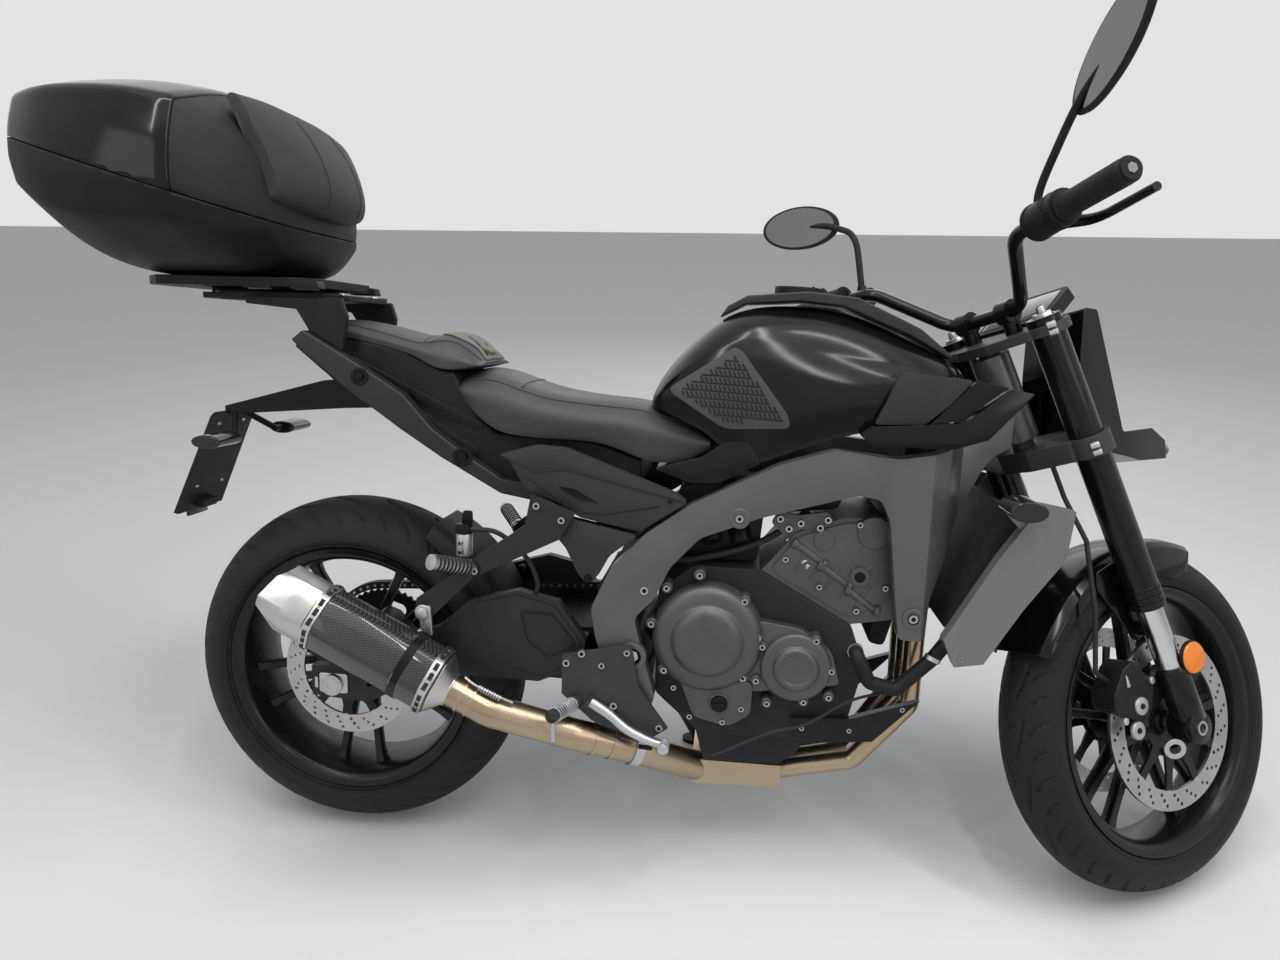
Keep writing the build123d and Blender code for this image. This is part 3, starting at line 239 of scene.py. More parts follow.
looks = {
    "frameCast": dict(
        color=(0.105, 0.107, 0.115), rough=0.30, metal=0.55, grain=1400, depth=0.0002, mottle=0.18, patch=9,
        dust=0.10,
    ),
    "armCast": dict(
        color=(0.030, 0.031, 0.034), rough=0.38, metal=0.45, grain=1400, depth=0.0002, dust=0.10,
    ),
    "engineCast": dict(
        color=(0.075, 0.076, 0.082), rough=0.38, metal=0.55, grain=700, depth=0.0005, pebble=0.35,
        mottle=0.3, dust=0.14,
    ),
    "engineDark": dict(
        color=(0.020, 0.020, 0.022), rough=0.48, metal=0.3, grain=800, depth=0.0004, mottle=0.3, dust=0.14,
    ),
    "satinPlastic": dict(color=(0.010, 0.010, 0.011), rough=0.50, grain=2200, depth=0.0003, dust=0.10),
    "casePlastic": dict(color=(0.009, 0.009, 0.010), rough=0.46, grain=1700, depth=0.0004, dust=0.07),
    "caseLidPlastic": dict(color=(0.018, 0.0185, 0.020), rough=0.48, grain=1700, depth=0.0004, dust=0.07),
    "glossBlack": dict(
        color=(0.003, 0.003, 0.0035), rough=0.12, spec=0.28, grain=40, depth=0.00003, pebble=0.0,
        spread=0.04, dust=0.03,
    ),
    "tankGloss": dict(
        color=(0.0032, 0.0032, 0.0036), rough=0.15, spec=0.28, grain=40, depth=0.00003, pebble=0.0,
        spread=0.05, dust=0.05,
    ),
    "greyPlastic": dict(
        color=(0.034, 0.035, 0.038), rough=0.42, grain=1800, depth=0.0002, metal=0.25, dust=0.08,
    ),
    "shieldGrey": dict(
        color=(0.17, 0.175, 0.185), rough=0.40, metal=0.35, grain=1800, depth=0.0002, dust=0.05,
    ),
    "sideCover": dict(
        color=(0.024, 0.025, 0.027), rough=0.46, spec=0.28, grain=2400, depth=0.0003, dust=0.12,
    ),
    "padGrey": dict(color=(0.040, 0.041, 0.043), rough=0.60, grain=1500, depth=0.0004, dust=0.06),
    "seatCover": dict(
        color=(0.034, 0.035, 0.037), rough=0.42, spec=0.32, grain=950, depth=0.0006, pebble=0.8, mottle=0.3,
        dust=0.16, dustColor=(0.2, 0.2, 0.2),
    ),
    "seatInsert": dict(color=(0.15, 0.155, 0.135), rough=0.6, grain=1500, depth=0.0004, dust=0.08),
    "tyreRubber": dict(
        color=(0.013, 0.0125, 0.0125), rough=0.62, grain=500, depth=0.0006, mottle=0.35, patch=20,
        dust=0.35, dustColor=(0.07, 0.068, 0.064),
    ),
    "rimBlack": dict(
        color=(0.005, 0.005, 0.0055), rough=0.24, spec=0.28, grain=60, depth=0.00005, dust=0.08,
    ),
    "discSteel": dict(
        color=(0.36, 0.345, 0.335), rough=0.30, metal=1.0, grain=700, depth=0.0002, mottle=0.25, dust=0.06,
    ),
    "boltSteel": dict(color=(0.42, 0.42, 0.42), rough=0.30, metal=1.0, grain=900, depth=0.0001, dust=0.05),
    "castSilver": dict(color=(0.45, 0.46, 0.47), rough=0.36, metal=1.0, grain=700, depth=0.0003, dust=0.06),
    "boltBlack": dict(
        color=(0.012, 0.012, 0.012), rough=0.38, metal=0.6, grain=900, depth=0.0001, dust=0.05,
    ),
    "chainDark": dict(
        color=(0.035, 0.034, 0.033), rough=0.42, metal=0.7, grain=800, depth=0.0002, dust=0.12,
    ),
    "sprocketDark": dict(
        color=(0.016, 0.016, 0.017), rough=0.45, metal=0.5, grain=800, depth=0.0002, dust=0.1,
    ),
    "headerTint": dict(
        color=(0.36, 0.25, 0.145), rough=0.27, metal=1.0, grain=500, depth=0.0001,
        second=(0.48, 0.40, 0.30), patch=6, dust=0.04,
    ),
    "linkTint": dict(
        color=(0.50, 0.40, 0.27), rough=0.24, metal=1.0, grain=500, depth=0.0001, second=(0.40, 0.29, 0.17),
        patch=5, dust=0.03,
    ),
    "capTitanium": dict(
        color=(0.50, 0.48, 0.455), rough=0.32, metal=1.0, grain=260, depth=0.00015, pebble=0.0,
        stretch=(1, 1, 9), dust=0.03,
    ),
    "carbonSkin": dict(
        color=(0.055, 0.057, 0.062), rough=0.20, coat=0.7, weave=900, depth=0.0002, dust=0.03,
    ),
    "rubberBlack": dict(color=(0.018, 0.018, 0.0185), rough=0.55, grain=900, depth=0.0004, dust=0.12),
    "kneeRubber": dict(
        color=(0.050, 0.051, 0.054), rough=0.48, spec=0.3, grain=1500, depth=0.0003, dust=0.08,
    ),
    "hoseRubber": dict(color=(0.026, 0.026, 0.027), rough=0.50, grain=600, depth=0.0003, dust=0.12),
    "forkBlack": dict(
        color=(0.010, 0.010, 0.011), rough=0.24, metal=0.55, coat=0.25, grain=300, depth=0.00005, dust=0.05,
    ),
    "forkTube": dict(color=(0.55, 0.55, 0.57), rough=0.14, metal=1.0, grain=200, depth=0.00002, dust=0.02),
    "clampGrey": dict(
        color=(0.050, 0.050, 0.050), rough=0.42, metal=0.4, grain=1200, depth=0.0003, dust=0.12,
    ),
    "caliperBlack": dict(
        color=(0.014, 0.014, 0.0145), rough=0.34, metal=0.3, grain=700, depth=0.0003, dust=0.10,
    ),
    "lampSmoke": dict(color=(0.012, 0.010, 0.010), rough=0.10, coat=0.5, grain=60, depth=0.0001, dust=0.04),
    "amber": dict(
        color=(0.85, 0.22, 0.01), rough=0.14, coat=0.6, grain=260, depth=0.0006, pebble=1.0, dust=0.02,
    ),
    "paleStrip": dict(color=(0.55, 0.56, 0.57), rough=0.30, grain=300, depth=0.0001, dust=0.03),
    "silverPaint": dict(
        color=(0.46, 0.47, 0.48), rough=0.34, metal=0.8, grain=900, depth=0.0002, dust=0.08,
    ),
    "coreBlack": dict(
        color=(0.016, 0.016, 0.016), rough=0.55, metal=0.5, grain=700, depth=0.0003, dust=0.15,
    ),
    "mirrorGlass": dict(
        color=(0.18, 0.19, 0.20), rough=0.05, metal=1.0, grain=90, depth=0.00003, dust=0.03,
    ),
}
materials = {name: finish(name, **look) for name, look in looks.items()}

nodesByFinish = {
    "frameCast": ["main_frame"], "armCast": ["tail_arms", "swingarm", "passenger_pegs"],
    "satinPlastic": [
        "tail_cover", "plate_holder", "rear_hugger", "luggage_rack", "hand_controls", "mirrors", "meter",
    ],
    "engineDark": ["crankcase"], "engineCast": ["cylinder_head", "engine_covers"],
    "coreBlack": ["radiator"], "shieldGrey": ["radiator_covers"], "headerTint": ["exhaust_pipes"],
    "carbonSkin": ["silencer_sleeve"], "capTitanium": ["silencer_caps"], "tankGloss": ["fuel_tank"],
    "greyPlastic": ["tank_covers"], "rubberBlack": ["knee_pads", "grips"], "sideCover": ["side_covers"],
    "seatCover": ["rider_seat", "pillion_seat"], "lampSmoke": ["flashers"],
    "boltBlack": ["shock_absorber", "side_stand"], "chainDark": ["drive_chain"],
    "caliperBlack": ["rear_caliper", "front_calipers"], "clampGrey": ["foot_controls", "fork_clamps"],
    "casePlastic": ["case_shell"], "boltSteel": ["rear_axle", "front_axle"],
    "rimBlack": ["rear_rim", "front_rim"], "tyreRubber": ["rear_tyre", "front_tyre"],
    "discSteel": ["rear_disc", "front_discs"], "sprocketDark": ["rear_sprocket"],
    "caseLidPlastic": ["case_lid"], "padGrey": ["lid_pad"], "forkBlack": ["fork_outers", "handlebar"],
    "forkTube": ["fork_inners"], "glossBlack": ["headlight", "front_fender"], "hoseRubber": ["brake_hoses"],
}
nodeFinish = {name: look for look, names in nodesByFinish.items() for name in names}
for name, ob in frame["nodes"].items():
    ob.data.materials.clear()
    ob.data.materials.append(materials[nodeFinish[name]])
print("materials ready")


# shaping
def addPiece(
    name, bm, body, finishes, angle=38, stands=(), bevel=0.0, segments=2, subdivide=0,
    local=False,
):
    if not local:
        bm.transform(posesByBody[body])
    mesh = bpy.data.meshes.new(name)
    bm.to_mesh(mesh)
    bm.free()
    ob = bpy.data.objects.new(name, mesh)
    scene.collection.objects.link(ob)
    for one in ([finishes] if isinstance(finishes, str) else finishes):
        mesh.materials.append(materials[one])
    mesh.polygons.foreach_set("use_smooth", [True] * len(mesh.polygons))
    mesh.set_sharp_from_angle(angle=math.radians(angle))
    if bevel:
        edge = ob.modifiers.new("softEdges", "BEVEL")
        edge.width, edge.segments = bevel / 1000, segments
        edge.limit_method, edge.angle_limit = "ANGLE", math.radians(30)
        edge.harden_normals = False
        mesh.set_sharp_from_angle(angle=math.radians(180))
    if subdivide:
        smooth = ob.modifiers.new("smooth", "SUBSURF")
        smooth.levels = smooth.render_levels = subdivide
    if stands:
        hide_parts(*stands)
    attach(ob, body)
    return ob


def rounded(points, radius, steps=4):  # an outline with its corners turned into arcs
    result = []
    count = len(points)
    for i in range(count):
        before, here, after = Vector(points[i - 1]), Vector(points[i]), Vector(points[(i + 1) % count])
        inward, outward = before - here, after - here
        reach = min(radius, inward.length * 0.45, outward.length * 0.45)
        start, end = here + inward.normalized() * reach, here + outward.normalized() * reach
        for k in range(steps + 1):
            t = k / steps
            point = start * (1 - t) ** 2 + here * 2 * t * (1 - t) + end * t ** 2
            result.append((point.x, point.y))
    return result


def castPlate(bm, outline, yIn, yOut, inset=6.0, rise=4.0, material=0):
    # a plate whose outer face stands proud inside a sloped rim
    lift = rise if yOut > yIn else -rise
    back = [bm.verts.new((x, yIn, z)) for x, z in outline]
    front = [bm.verts.new((x, yOut - lift, z)) for x, z in outline]
    made = [bm.faces.new(back), *bridge(bm, back, front)]
    top = bm.faces.new(front)
    made.append(top)
    if rise:
        rim = bmesh.ops.inset_region(bm, faces=[top], thickness=inset, use_even_offset=True)["faces"]
        made += rim
        for vert in top.verts:
            vert.co.y += lift
    settle(bm, made, material)
    return top


def settle(bm, made, material=0):
    for face in made:
        face.material_index = material
    bmesh.ops.recalc_face_normals(bm, faces=made)


def circle(bm, centre, aim, size, count):
    side = aim.orthogonal().normalized()
    other = aim.cross(side)
    spots = []
    for i in range(count):
        turn = 2 * math.pi * i / count
        spots.append(bm.verts.new(centre + (side * math.cos(turn) + other * math.sin(turn)) * size))
    return spots


def bridge(bm, a, b):  # a band of faces between two loops
    count = len(a)
    return [bm.faces.new((a[i], a[(i + 1) % count], b[(i + 1) % count], b[i])) for i in range(count)]


def lathe(bm, hub, profile, count=72, closed=False):  # profile of (y, radius) about the wheel's axis
    rings = []
    for i in range(count):
        a = 2 * math.pi * i / count
        rings.append(
            [
                bm.verts.new((hub.x + r * math.cos(a), hub.y + y, hub.z + r * math.sin(a)))
                for y, r in profile
            ]
        )
    made = []
    last = len(profile) if closed else len(profile) - 1
    for i in range(count):
        a, b = rings[i], rings[(i + 1) % count]
        for k in range(last):
            n = (k + 1) % len(profile)
            made.append(bm.faces.new((a[k], b[k], b[n], a[n])))
    settle(bm, made)
    return made


def rodBetween(bm, start, end, radius, tip=None, count=16, material=0):
    start, end = Vector(start), Vector(end)
    along = (end - start).normalized()
    rings = []
    for centre, size in ((start, radius), (end, radius if tip is None else tip)):
        rings.append(circle(bm, centre, along, size, count))
    made = bridge(bm, *rings)
    made += [bm.faces.new(rings[0]), bm.faces.new(rings[1])]
    settle(bm, made, material)


def stud(bm, x, z, yIn, yOut, *sizes, **look):  # a rod across the machine
    rodBetween(bm, (x, yIn, z), (x, yOut, z), *sizes, **look)


def ring(bm, centre, aim, outer, inner, thick, count=28, material=0):  # a washer or collar
    centre, aim = Vector(centre), Vector(aim).normalized()
    loops = []
    for size, push in ((outer, 0), (outer, thick), (inner, thick), (inner, 0)):
        loops.append(circle(bm, centre + aim * push, aim, size, count))
    made = []
    for k in range(4):
        made += bridge(bm, loops[k], loops[(k + 1) % 4])
    settle(bm, made, material)


def tubeAlong(bm, points, radius, count=14, material=0, steps=8, bend=0.4, radii=None):
    # a round tube along rounded corners
    path = [Vector(points[0])]
    for i in range(1, len(points) - 1):
        before, here, after = Vector(points[i - 1]), Vector(points[i]), Vector(points[i + 1])
        start, end = here.lerp(before, bend), here.lerp(after, bend)
        path += [
            start * (1 - k / steps) ** 2 + here * 2 * (k / steps) * (1 - k / steps) + end * (k / steps) ** 2
            for k in range(steps + 1)
        ]
    path.append(Vector(points[-1]))
    side = (path[1] - path[0]).orthogonal().normalized()
    rings = []
    for i, point in enumerate(path):
        ahead = (path[min(i + 1, len(path) - 1)] - path[max(i - 1, 0)]).normalized()
        side = (side - ahead * side.dot(ahead)).normalized()
        other = ahead.cross(side)
        size = radius if radii is None else radii[0] + (radii[1] - radii[0]) * i / (len(path) - 1)
        rings.append(
            [
                bm.verts.new(
                    point
                    + (
                        side * math.cos(2 * math.pi * k / count) + other * math.sin(2 * math.pi * k / count)
                    ) * size
                )
                for k in range(count)
            ]
        )
    made = [bm.faces.new(rings[0]), bm.faces.new(rings[-1])]
    for a, b in zip(rings, rings[1:]):
        made += [bm.faces.new((a[k], a[(k + 1) % count], b[(k + 1) % count], b[k])) for k in range(count)]
    settle(bm, made, material)
    return path


def loft(bm, sections, caps=True, material=0):  # rings of points joined in order
    rings = [[bm.verts.new(p) for p in section] for section in sections]
    made = []
    for a, b in zip(rings, rings[1:]):
        made += bridge(bm, a, b)
    if caps:
        made += [bm.faces.new(rings[0]), bm.faces.new(rings[-1])]
    settle(bm, made, material)
    return rings, made


# geometry nodes
def treeFor(name, inputs):
    tree = bpy.data.node_groups.new(name, "GeometryNodeTree")
    return sockets(tree, {"Geometry": "Geometry", **inputs}, {"Geometry": "Geometry"})


def makeRingTree():  # copies of one sector, turned about the wheel's axis
    tree, give, out = treeFor("ringOfCopies", {"Count": 5, "Start Angle": 0.0, "Merge": 0.0})
    points = node(tree, "GeometryNodePoints")
    index = node(tree, "GeometryNodeInputIndex")
    step = node(tree, "ShaderNodeMath", {0: 2 * math.pi}, operation="DIVIDE")
    turn = node(tree, "ShaderNodeMath", operation="MULTIPLY_ADD")
    aim = node(tree, "ShaderNodeCombineXYZ")
    place = node(tree, "GeometryNodeInstanceOnPoints")
    real = node(tree, "GeometryNodeRealizeInstances")
    weld = node(tree, "GeometryNodeMergeByDistance")
    wire(
        tree, (give, "Count", points, "Count"), (give, "Count", step, 1), (index, 0, turn, 0),
        (step, 0, turn, 1), (give, "Start Angle", turn, 2), (turn, 0, aim, "Y"),
        (points, 0, place, "Points"), (give, "Geometry", place, "Instance"),
        (aim, 0, place, "Rotation"), (place, 0, real, 0), (real, 0, weld, "Geometry"),
        (give, "Merge", weld, "Distance"), (weld, 0, out, 0),
    )
    return tree


def makeBoltTree():  # socket screws at the points of a mesh, aimed along the attribute "aim"
    tree, give, out = treeFor("screwsOnPoints", {"Head": "Material", "Socket": "Material", "Sides": 18})
    aim = node(tree, "GeometryNodeInputNamedAttribute", {"Name": "aim"}, data_type="FLOAT_VECTOR")
    size = node(tree, "GeometryNodeInputNamedAttribute", {"Name": "size"}, data_type="FLOAT")
    turn = node(tree, "FunctionNodeAlignRotationToVector", axis="Z")
    head = node(tree, "GeometryNodeMeshCone", {"Radius Top": 0.86, "Radius Bottom": 1.0, "Depth": 0.9})
    key = node(tree, "GeometryNodeMeshCylinder", {"Vertices": 6, "Radius": 0.52, "Depth": 0.08})
    lift = node(tree, "GeometryNodeTransform", {"Translation": (0, 0, 0.90)})
    headFinish = node(tree, "GeometryNodeSetMaterial")
    keyFinish = node(tree, "GeometryNodeSetMaterial")
    parts = node(tree, "GeometryNodeJoinGeometry")
    place = node(tree, "GeometryNodeInstanceOnPoints")
    real = node(tree, "GeometryNodeRealizeInstances")
    wire(
        tree, (give, "Sides", head, "Vertices"), (head, "Mesh", headFinish, "Geometry"),
        (give, "Head", headFinish, "Material"), (key, "Mesh", lift, "Geometry"),
        (lift, 0, keyFinish, "Geometry"), (give, "Socket", keyFinish, "Material"),
        (keyFinish, 0, parts, 0), (headFinish, 0, parts, 0), (aim, "Attribute", turn, "Vector"),
        (give, "Geometry", place, "Points"), (parts, 0, place, "Instance"),
        (turn, 0, place, "Rotation"), (size, "Attribute", place, "Scale"), (place, 0, real, 0),
        (real, 0, out, 0),
    )
    return tree


ringTree, boltTree = makeRingTree(), makeBoltTree()


def runTree(ob, tree, values):  # the tree's result as a plain mesh
    modifier = ob.modifiers.new("nodes", "NODES")
    modifier.node_group = tree
    for item in tree.interface.items_tree:
        if item.item_type == "SOCKET" and item.in_out == "INPUT" and item.name in values:
            modifier[item.identifier] = values[item.name]
    graph = bpy.context.evaluated_depsgraph_get()
    graph.update()
    mesh = bpy.data.meshes.new_from_object(ob.evaluated_get(graph))
    ob.modifiers.remove(modifier)
    return mesh


def ringPiece(
    name, bm, hub, count, body, finishes, start=0.0, merge=0.0, angle=38, stands=(), extra=None,
):
    # bm holds one sector about the origin
    mesh = bpy.data.meshes.new(name + "Sector")
    bm.to_mesh(mesh)
    bm.free()
    one = bpy.data.objects.new(name + "Sector", mesh)
    scene.collection.objects.link(one)
    result = runTree(one, ringTree, {"Count": count, "Start Angle": math.radians(start), "Merge": merge})
    bpy.data.objects.remove(one)
    whole = bmesh.new()
    whole.from_mesh(result)
    whole.transform(Matrix.Translation(hub))
    if extra:
        extra(whole)
    return addPiece(name, whole, body, finishes, angle=angle, stands=stands)


def screws(name, body, items, head="boltSteel", socket="boltBlack"):
    # items of (x, y, z), aim, head radius on the upright machine
    pose = posesByBody[body]
    turn = pose.to_3x3().normalized()
    mesh = bpy.data.meshes.new(name + "Points")
    mesh.from_pydata([pose @ Vector(at) for at, aim, size in items], [], [])
    mesh.attributes.new("aim", "FLOAT_VECTOR", "POINT")
    mesh.attributes.new("size", "FLOAT", "POINT")
    aims, sizes = mesh.attributes["aim"], mesh.attributes["size"]
    for i, (at, aim, size) in enumerate(items):
        aims.data[i].vector = turn @ Vector(aim).normalized()
        sizes.data[i].value = size / 1000
    dots = bpy.data.objects.new(name + "Points", mesh)
    scene.collection.objects.link(dots)
    result = runTree(dots, boltTree, {"Head": materials[head], "Socket": materials[socket], "Sides": 18})
    bpy.data.objects.remove(dots)
    result.name = name
    if result.materials and result.materials[0] is None:
        result.materials.pop(index=0)
    ob = bpy.data.objects.new(name, result)
    scene.collection.objects.link(ob)
    result.polygons.foreach_set("use_smooth", [True] * len(result.polygons))
    result.set_sharp_from_angle(angle=math.radians(35))
    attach(ob, body)
    return ob


def sideways(rows, sides=(-1, 1)):  # screws of (x, y, z, radius) that look to the side
    return [((x, side * y, z), (0, side, 0), size) for side in sides for x, y, z, size in rows]


# tyres: one pitch of tread, with its grooves pressed in, repeated round the wheel
tyreLook = {
    "rear": {
        "radius": 315.0, "half": 88.0, "shoulder": 249.8, "bead": 70.0, "pitches": 20, "depth": 4.5,
        "steps": 36,
    },
    "front": {
        "radius": 300.0, "half": 59.0, "shoulder": 254.4, "bead": 46.0, "pitches": 20, "depth": 4.0,
        "steps": 36,
    },
}
grooves = {  # lines of (share of the pitch, share of the half width), then the half width of the groove in mm
    "rear": [
        ([(0.02, 0.08), (0.30, 0.26), (0.62, 0.40), (0.98, 0.48)], 2.2),
        ([(0.55, 0.54), (0.78, 0.68), (0.92, 0.84)], 1.9),
        ([(0.10, 0.56), (0.28, 0.70), (0.38, 0.82)], 1.6),
        ([(0.52, -0.08), (0.80, -0.26), (1.12, -0.40), (1.48, -0.48)], 2.2),
        ([(0.05, -0.54), (0.28, -0.68), (0.42, -0.84)], 1.9),
        ([(0.60, -0.56), (0.78, -0.70), (0.88, -0.82)], 1.6),
    ],
    "front": [
        ([(0.05, 0.10), (0.36, 0.26), (0.72, 0.36)], 1.9),
        ([(0.45, 0.48), (0.62, 0.66), (0.70, 0.84)], 1.7), ([(0.0, 0.52), (0.12, 0.66), (0.18, 0.78)], 1.4),
        ([(0.55, -0.10), (0.86, -0.26), (1.22, -0.36)], 1.9),
        ([(-0.05, -0.48), (0.12, -0.66), (0.20, -0.84)], 1.7),
        ([(0.50, -0.52), (0.62, -0.66), (0.68, -0.78)], 1.4),
    ],
}


def grooveDepth(kind, along, across, pitch, half):
    deepest = 0.0
    for line, width in grooves[kind]:
        for shift in (-1, 0, 1):
            for (a0, c0), (a1, c1) in zip(line, line[1:]):
                p, q = Vector(((a0 + shift) * pitch, c0 * half)), Vector(((a1 + shift) * pitch, c1 * half))
                point = Vector((along * pitch, across))
                t = max(0.0, min(1.0, (point - p).dot(q - p) / (q - p).length_squared))
                away = (point - p.lerp(q, t)).length
                deepest = max(deepest, min(1.0, max(0.0, (width + 1.2 - away) / 1.6)))
    return deepest


def makeTyre(kind, hub, body, standsFor):
    look = tyreLook[kind]
    radius, half, shoulder = look["radius"], look["half"], look["shoulder"]
    rise = radius - shoulder
    crown = (half ** 2 + rise ** 2) / (2 * rise)
    sweep = math.asin(half / crown)
    side = [
        (-look["bead"], 231.6), (-look["bead"] - 3, 232.4), (-look["bead"] - 7, 235), (-half + 5, 239),
        (-half + 1.6, 243), (-half + 0.4, 246),
    ]
    arc = [
        (crown * math.sin(sweep * (k / 23 - 1)), radius - crown + crown * math.cos(sweep * (k / 23 - 1)))
        for k in range(47)
    ]
    profile = side + arc + [(-y, r) for y, r in reversed(side)]
    pitchAngle = 2 * math.pi / look["pitches"]
    pitch = radius * pitchAngle
    bm = bmesh.new()
    rows = []
    for i in range(look["steps"] + 1):
        share = i / look["steps"]
        a = share * pitchAngle
        row = []
        for y, r in profile:
            lower = 0.0
            if abs(y) < half * 0.93 and r > shoulder:
                lower = look["depth"] * grooveDepth(kind, share, y, pitch, half)
            rr = r - lower
            row.append(bm.verts.new((rr * math.cos(-a), y, rr * math.sin(-a))))
        rows.append(row)
    for a, b in zip(rows, rows[1:]):
        for k in range(len(profile) - 1):
            bm.faces.new((a[k], a[k + 1], b[k + 1], b[k]))
    bmesh.ops.recalc_face_normals(bm, faces=bm.faces)

    def inner(whole):
        lathe(
            whole, hub,
            [
                (-look["bead"], 231.6), (-look["bead"] + 3, 216.6), (look["bead"] - 3, 216.6),
                (look["bead"], 231.6),
            ],
            120,
        )
        for at in (-1, 1):  # moulded ring above the rim
            lathe(
                whole, hub,
                [
                    (at * (half - 9), 236.0), (at * (half - 4.2), 237.0), (at * (half - 3.4), 239.5),
                    (at * (half - 5), 240.5),
                ],
                120,
            )
        bmesh.ops.remove_doubles(whole, verts=whole.verts, dist=0.02)

    ringPiece(
        kind + "TyreTread", bm, hub, look["pitches"], body, "tyreRubber", merge=0.05, angle=50,
        stands=(standsFor,), extra=inner,
    )


makeTyre("rear", rearHub, "rear_wheel", "rear_tyre")
makeTyre("front", frontHub, "front_wheel", "front_tyre")
print("tyres done")


# wheels: barrel, hub and pairs of slim spokes
wheelLook = {
    "rear": {
        "half": 76.0, "spokeY": -22.0, "hubHalf": 66.0, "start": 18.0, "discs": [-68.2],
        "outerSpread": 41.0,
    },
    "front": {
        "half": 52.0, "spokeY": 0.0, "hubHalf": 59.0, "start": 54.0, "discs": [-61.2, 61.2],
        "outerSpread": 41.0,
    },
}


def makeRim(kind, hub, body, standsFor):
    look = wheelLook[kind]
    half = look["half"]
    bm = bmesh.new()
    for side in (-1, 1):
        stations = [
            (32, side * 10, 15, 30), (52, side * 15, 11, 27), (90, side * 21, 8.5, 23),
            (140, side * 29, 8, 20), (178, side * 35, 8.5, 20), (198, side * 39, 11, 24),
            (208, side * look["outerSpread"], 17, 30),
        ]
        sections = []
        for r, t, wide, deep in stations:
            w, d = wide, deep / 2
            ringPoints = [
                (-w, -d * 0.55), (-w * 0.72, -d), (w * 0.72, -d), (w, -d * 0.55), (w, d * 0.55),
                (w * 0.72, d), (-w * 0.72, d), (-w, d * 0.55),
            ]
            drift = look["spokeY"] * min(1.0, (r - 32) / 150)
            sections.append([(r, drift + y, t + x) for x, y in ringPoints])
        loft(bm, sections)

    def barrel(whole):
        lip = [
            (half, 221), (half, 230.6), (half - 2.2, 231), (half - 5.6, 230.6), (half - 6, 217),
            (half - 14, 215.6), (half * 0.55, 211), (half * 0.35, 202),
        ]
        outer = lip + [(-y, r) for y, r in reversed(lip)]
        inner = [
            (-half, 221), (-half + 1.5, 217.5), (-half + 7, 212), (-half + 12, 208.5), (-half * 0.5, 203.5),
            (0, 198.5), (half * 0.5, 203.5), (half - 12, 208.5), (half - 7, 212), (half - 1.5, 217.5),
        ]
        lathe(whole, hub, outer + inner[1:], 144, closed=True)
        hubHalf = look["hubHalf"]
        outline = [
            (-hubHalf, 13), (-hubHalf, 24), (-hubHalf + 3, 27), (-hubHalf + 10, 30), (-34, 33), (-30, 38),
            (30, 38), (34, 33), (hubHalf - 10, 30), (hubHalf - 3, 27), (hubHalf, 24), (hubHalf, 13),
        ]
        lathe(whole, hub, outline, 60, closed=True)
        for face in look["discs"]:
            s = 1 if face > 0 else -1
            lathe(
                whole, hub,
                [
                    (face - s * 0.3, 24), (face - s * 0.3, 54), (face - s * 2, 56), (face - s * 9, 54),
                    (face - s * 14, 40), (face - s * 14, 24),
                ],
                60, closed=True,
            )
        bmesh.ops.remove_doubles(whole, verts=whole.verts, dist=0.01)

    ringPiece(
        kind + "WheelCast", bm, hub, 5, body, "rimBlack", start=look["start"], angle=32,
        stands=(standsFor,), extra=barrel,
    )


makeRim("rear", rearHub, "rear_wheel", "rear_rim")
makeRim("front", frontHub, "front_wheel", "front_rim")
print("wheels done")


# brake discs: a drilled band on a black carrier, the holes bored by nodes
discLook = {
    "thick": 5.0, "band": 34.0, "hole": 3.1, "groups": 24, "rows": [(9, 0.0), (18, 3.6), (27, 7.2)],
    "buttons": 10,
}


def makeDrillTree():
    tree, give, out = treeFor(
        "drilledBand", {"Holes": "Object", "Hole Radius": 3.0, "Depth": 20.0, "Material": "Material"},
    )
    info = node(tree, "GeometryNodeObjectInfo")
    drill = node(tree, "GeometryNodeMeshCylinder", {"Vertices": 12})
    place = node(tree, "GeometryNodeInstanceOnPoints", {"Rotation": (math.pi / 2, 0, 0)})
    real = node(tree, "GeometryNodeRealizeInstances")
    cut = node(tree, "GeometryNodeMeshBoolean", operation="DIFFERENCE")
    dress = node(tree, "GeometryNodeSetMaterial")
    wire(
        tree, (give, "Holes", info, "Object"), (give, "Hole Radius", drill, "Radius"),
        (give, "Depth", drill, "Depth"), (info, "Geometry", place, "Points"),
        (drill, "Mesh", place, "Instance"), (place, 0, real, 0), (give, "Geometry", cut, "Mesh 1"),
        (real, 0, cut, "Mesh 2"), (cut, "Mesh", dress, "Geometry"),
        (give, "Material", dress, "Material"), (dress, 0, out, 0),
    )
    return tree


drillTree = makeDrillTree()


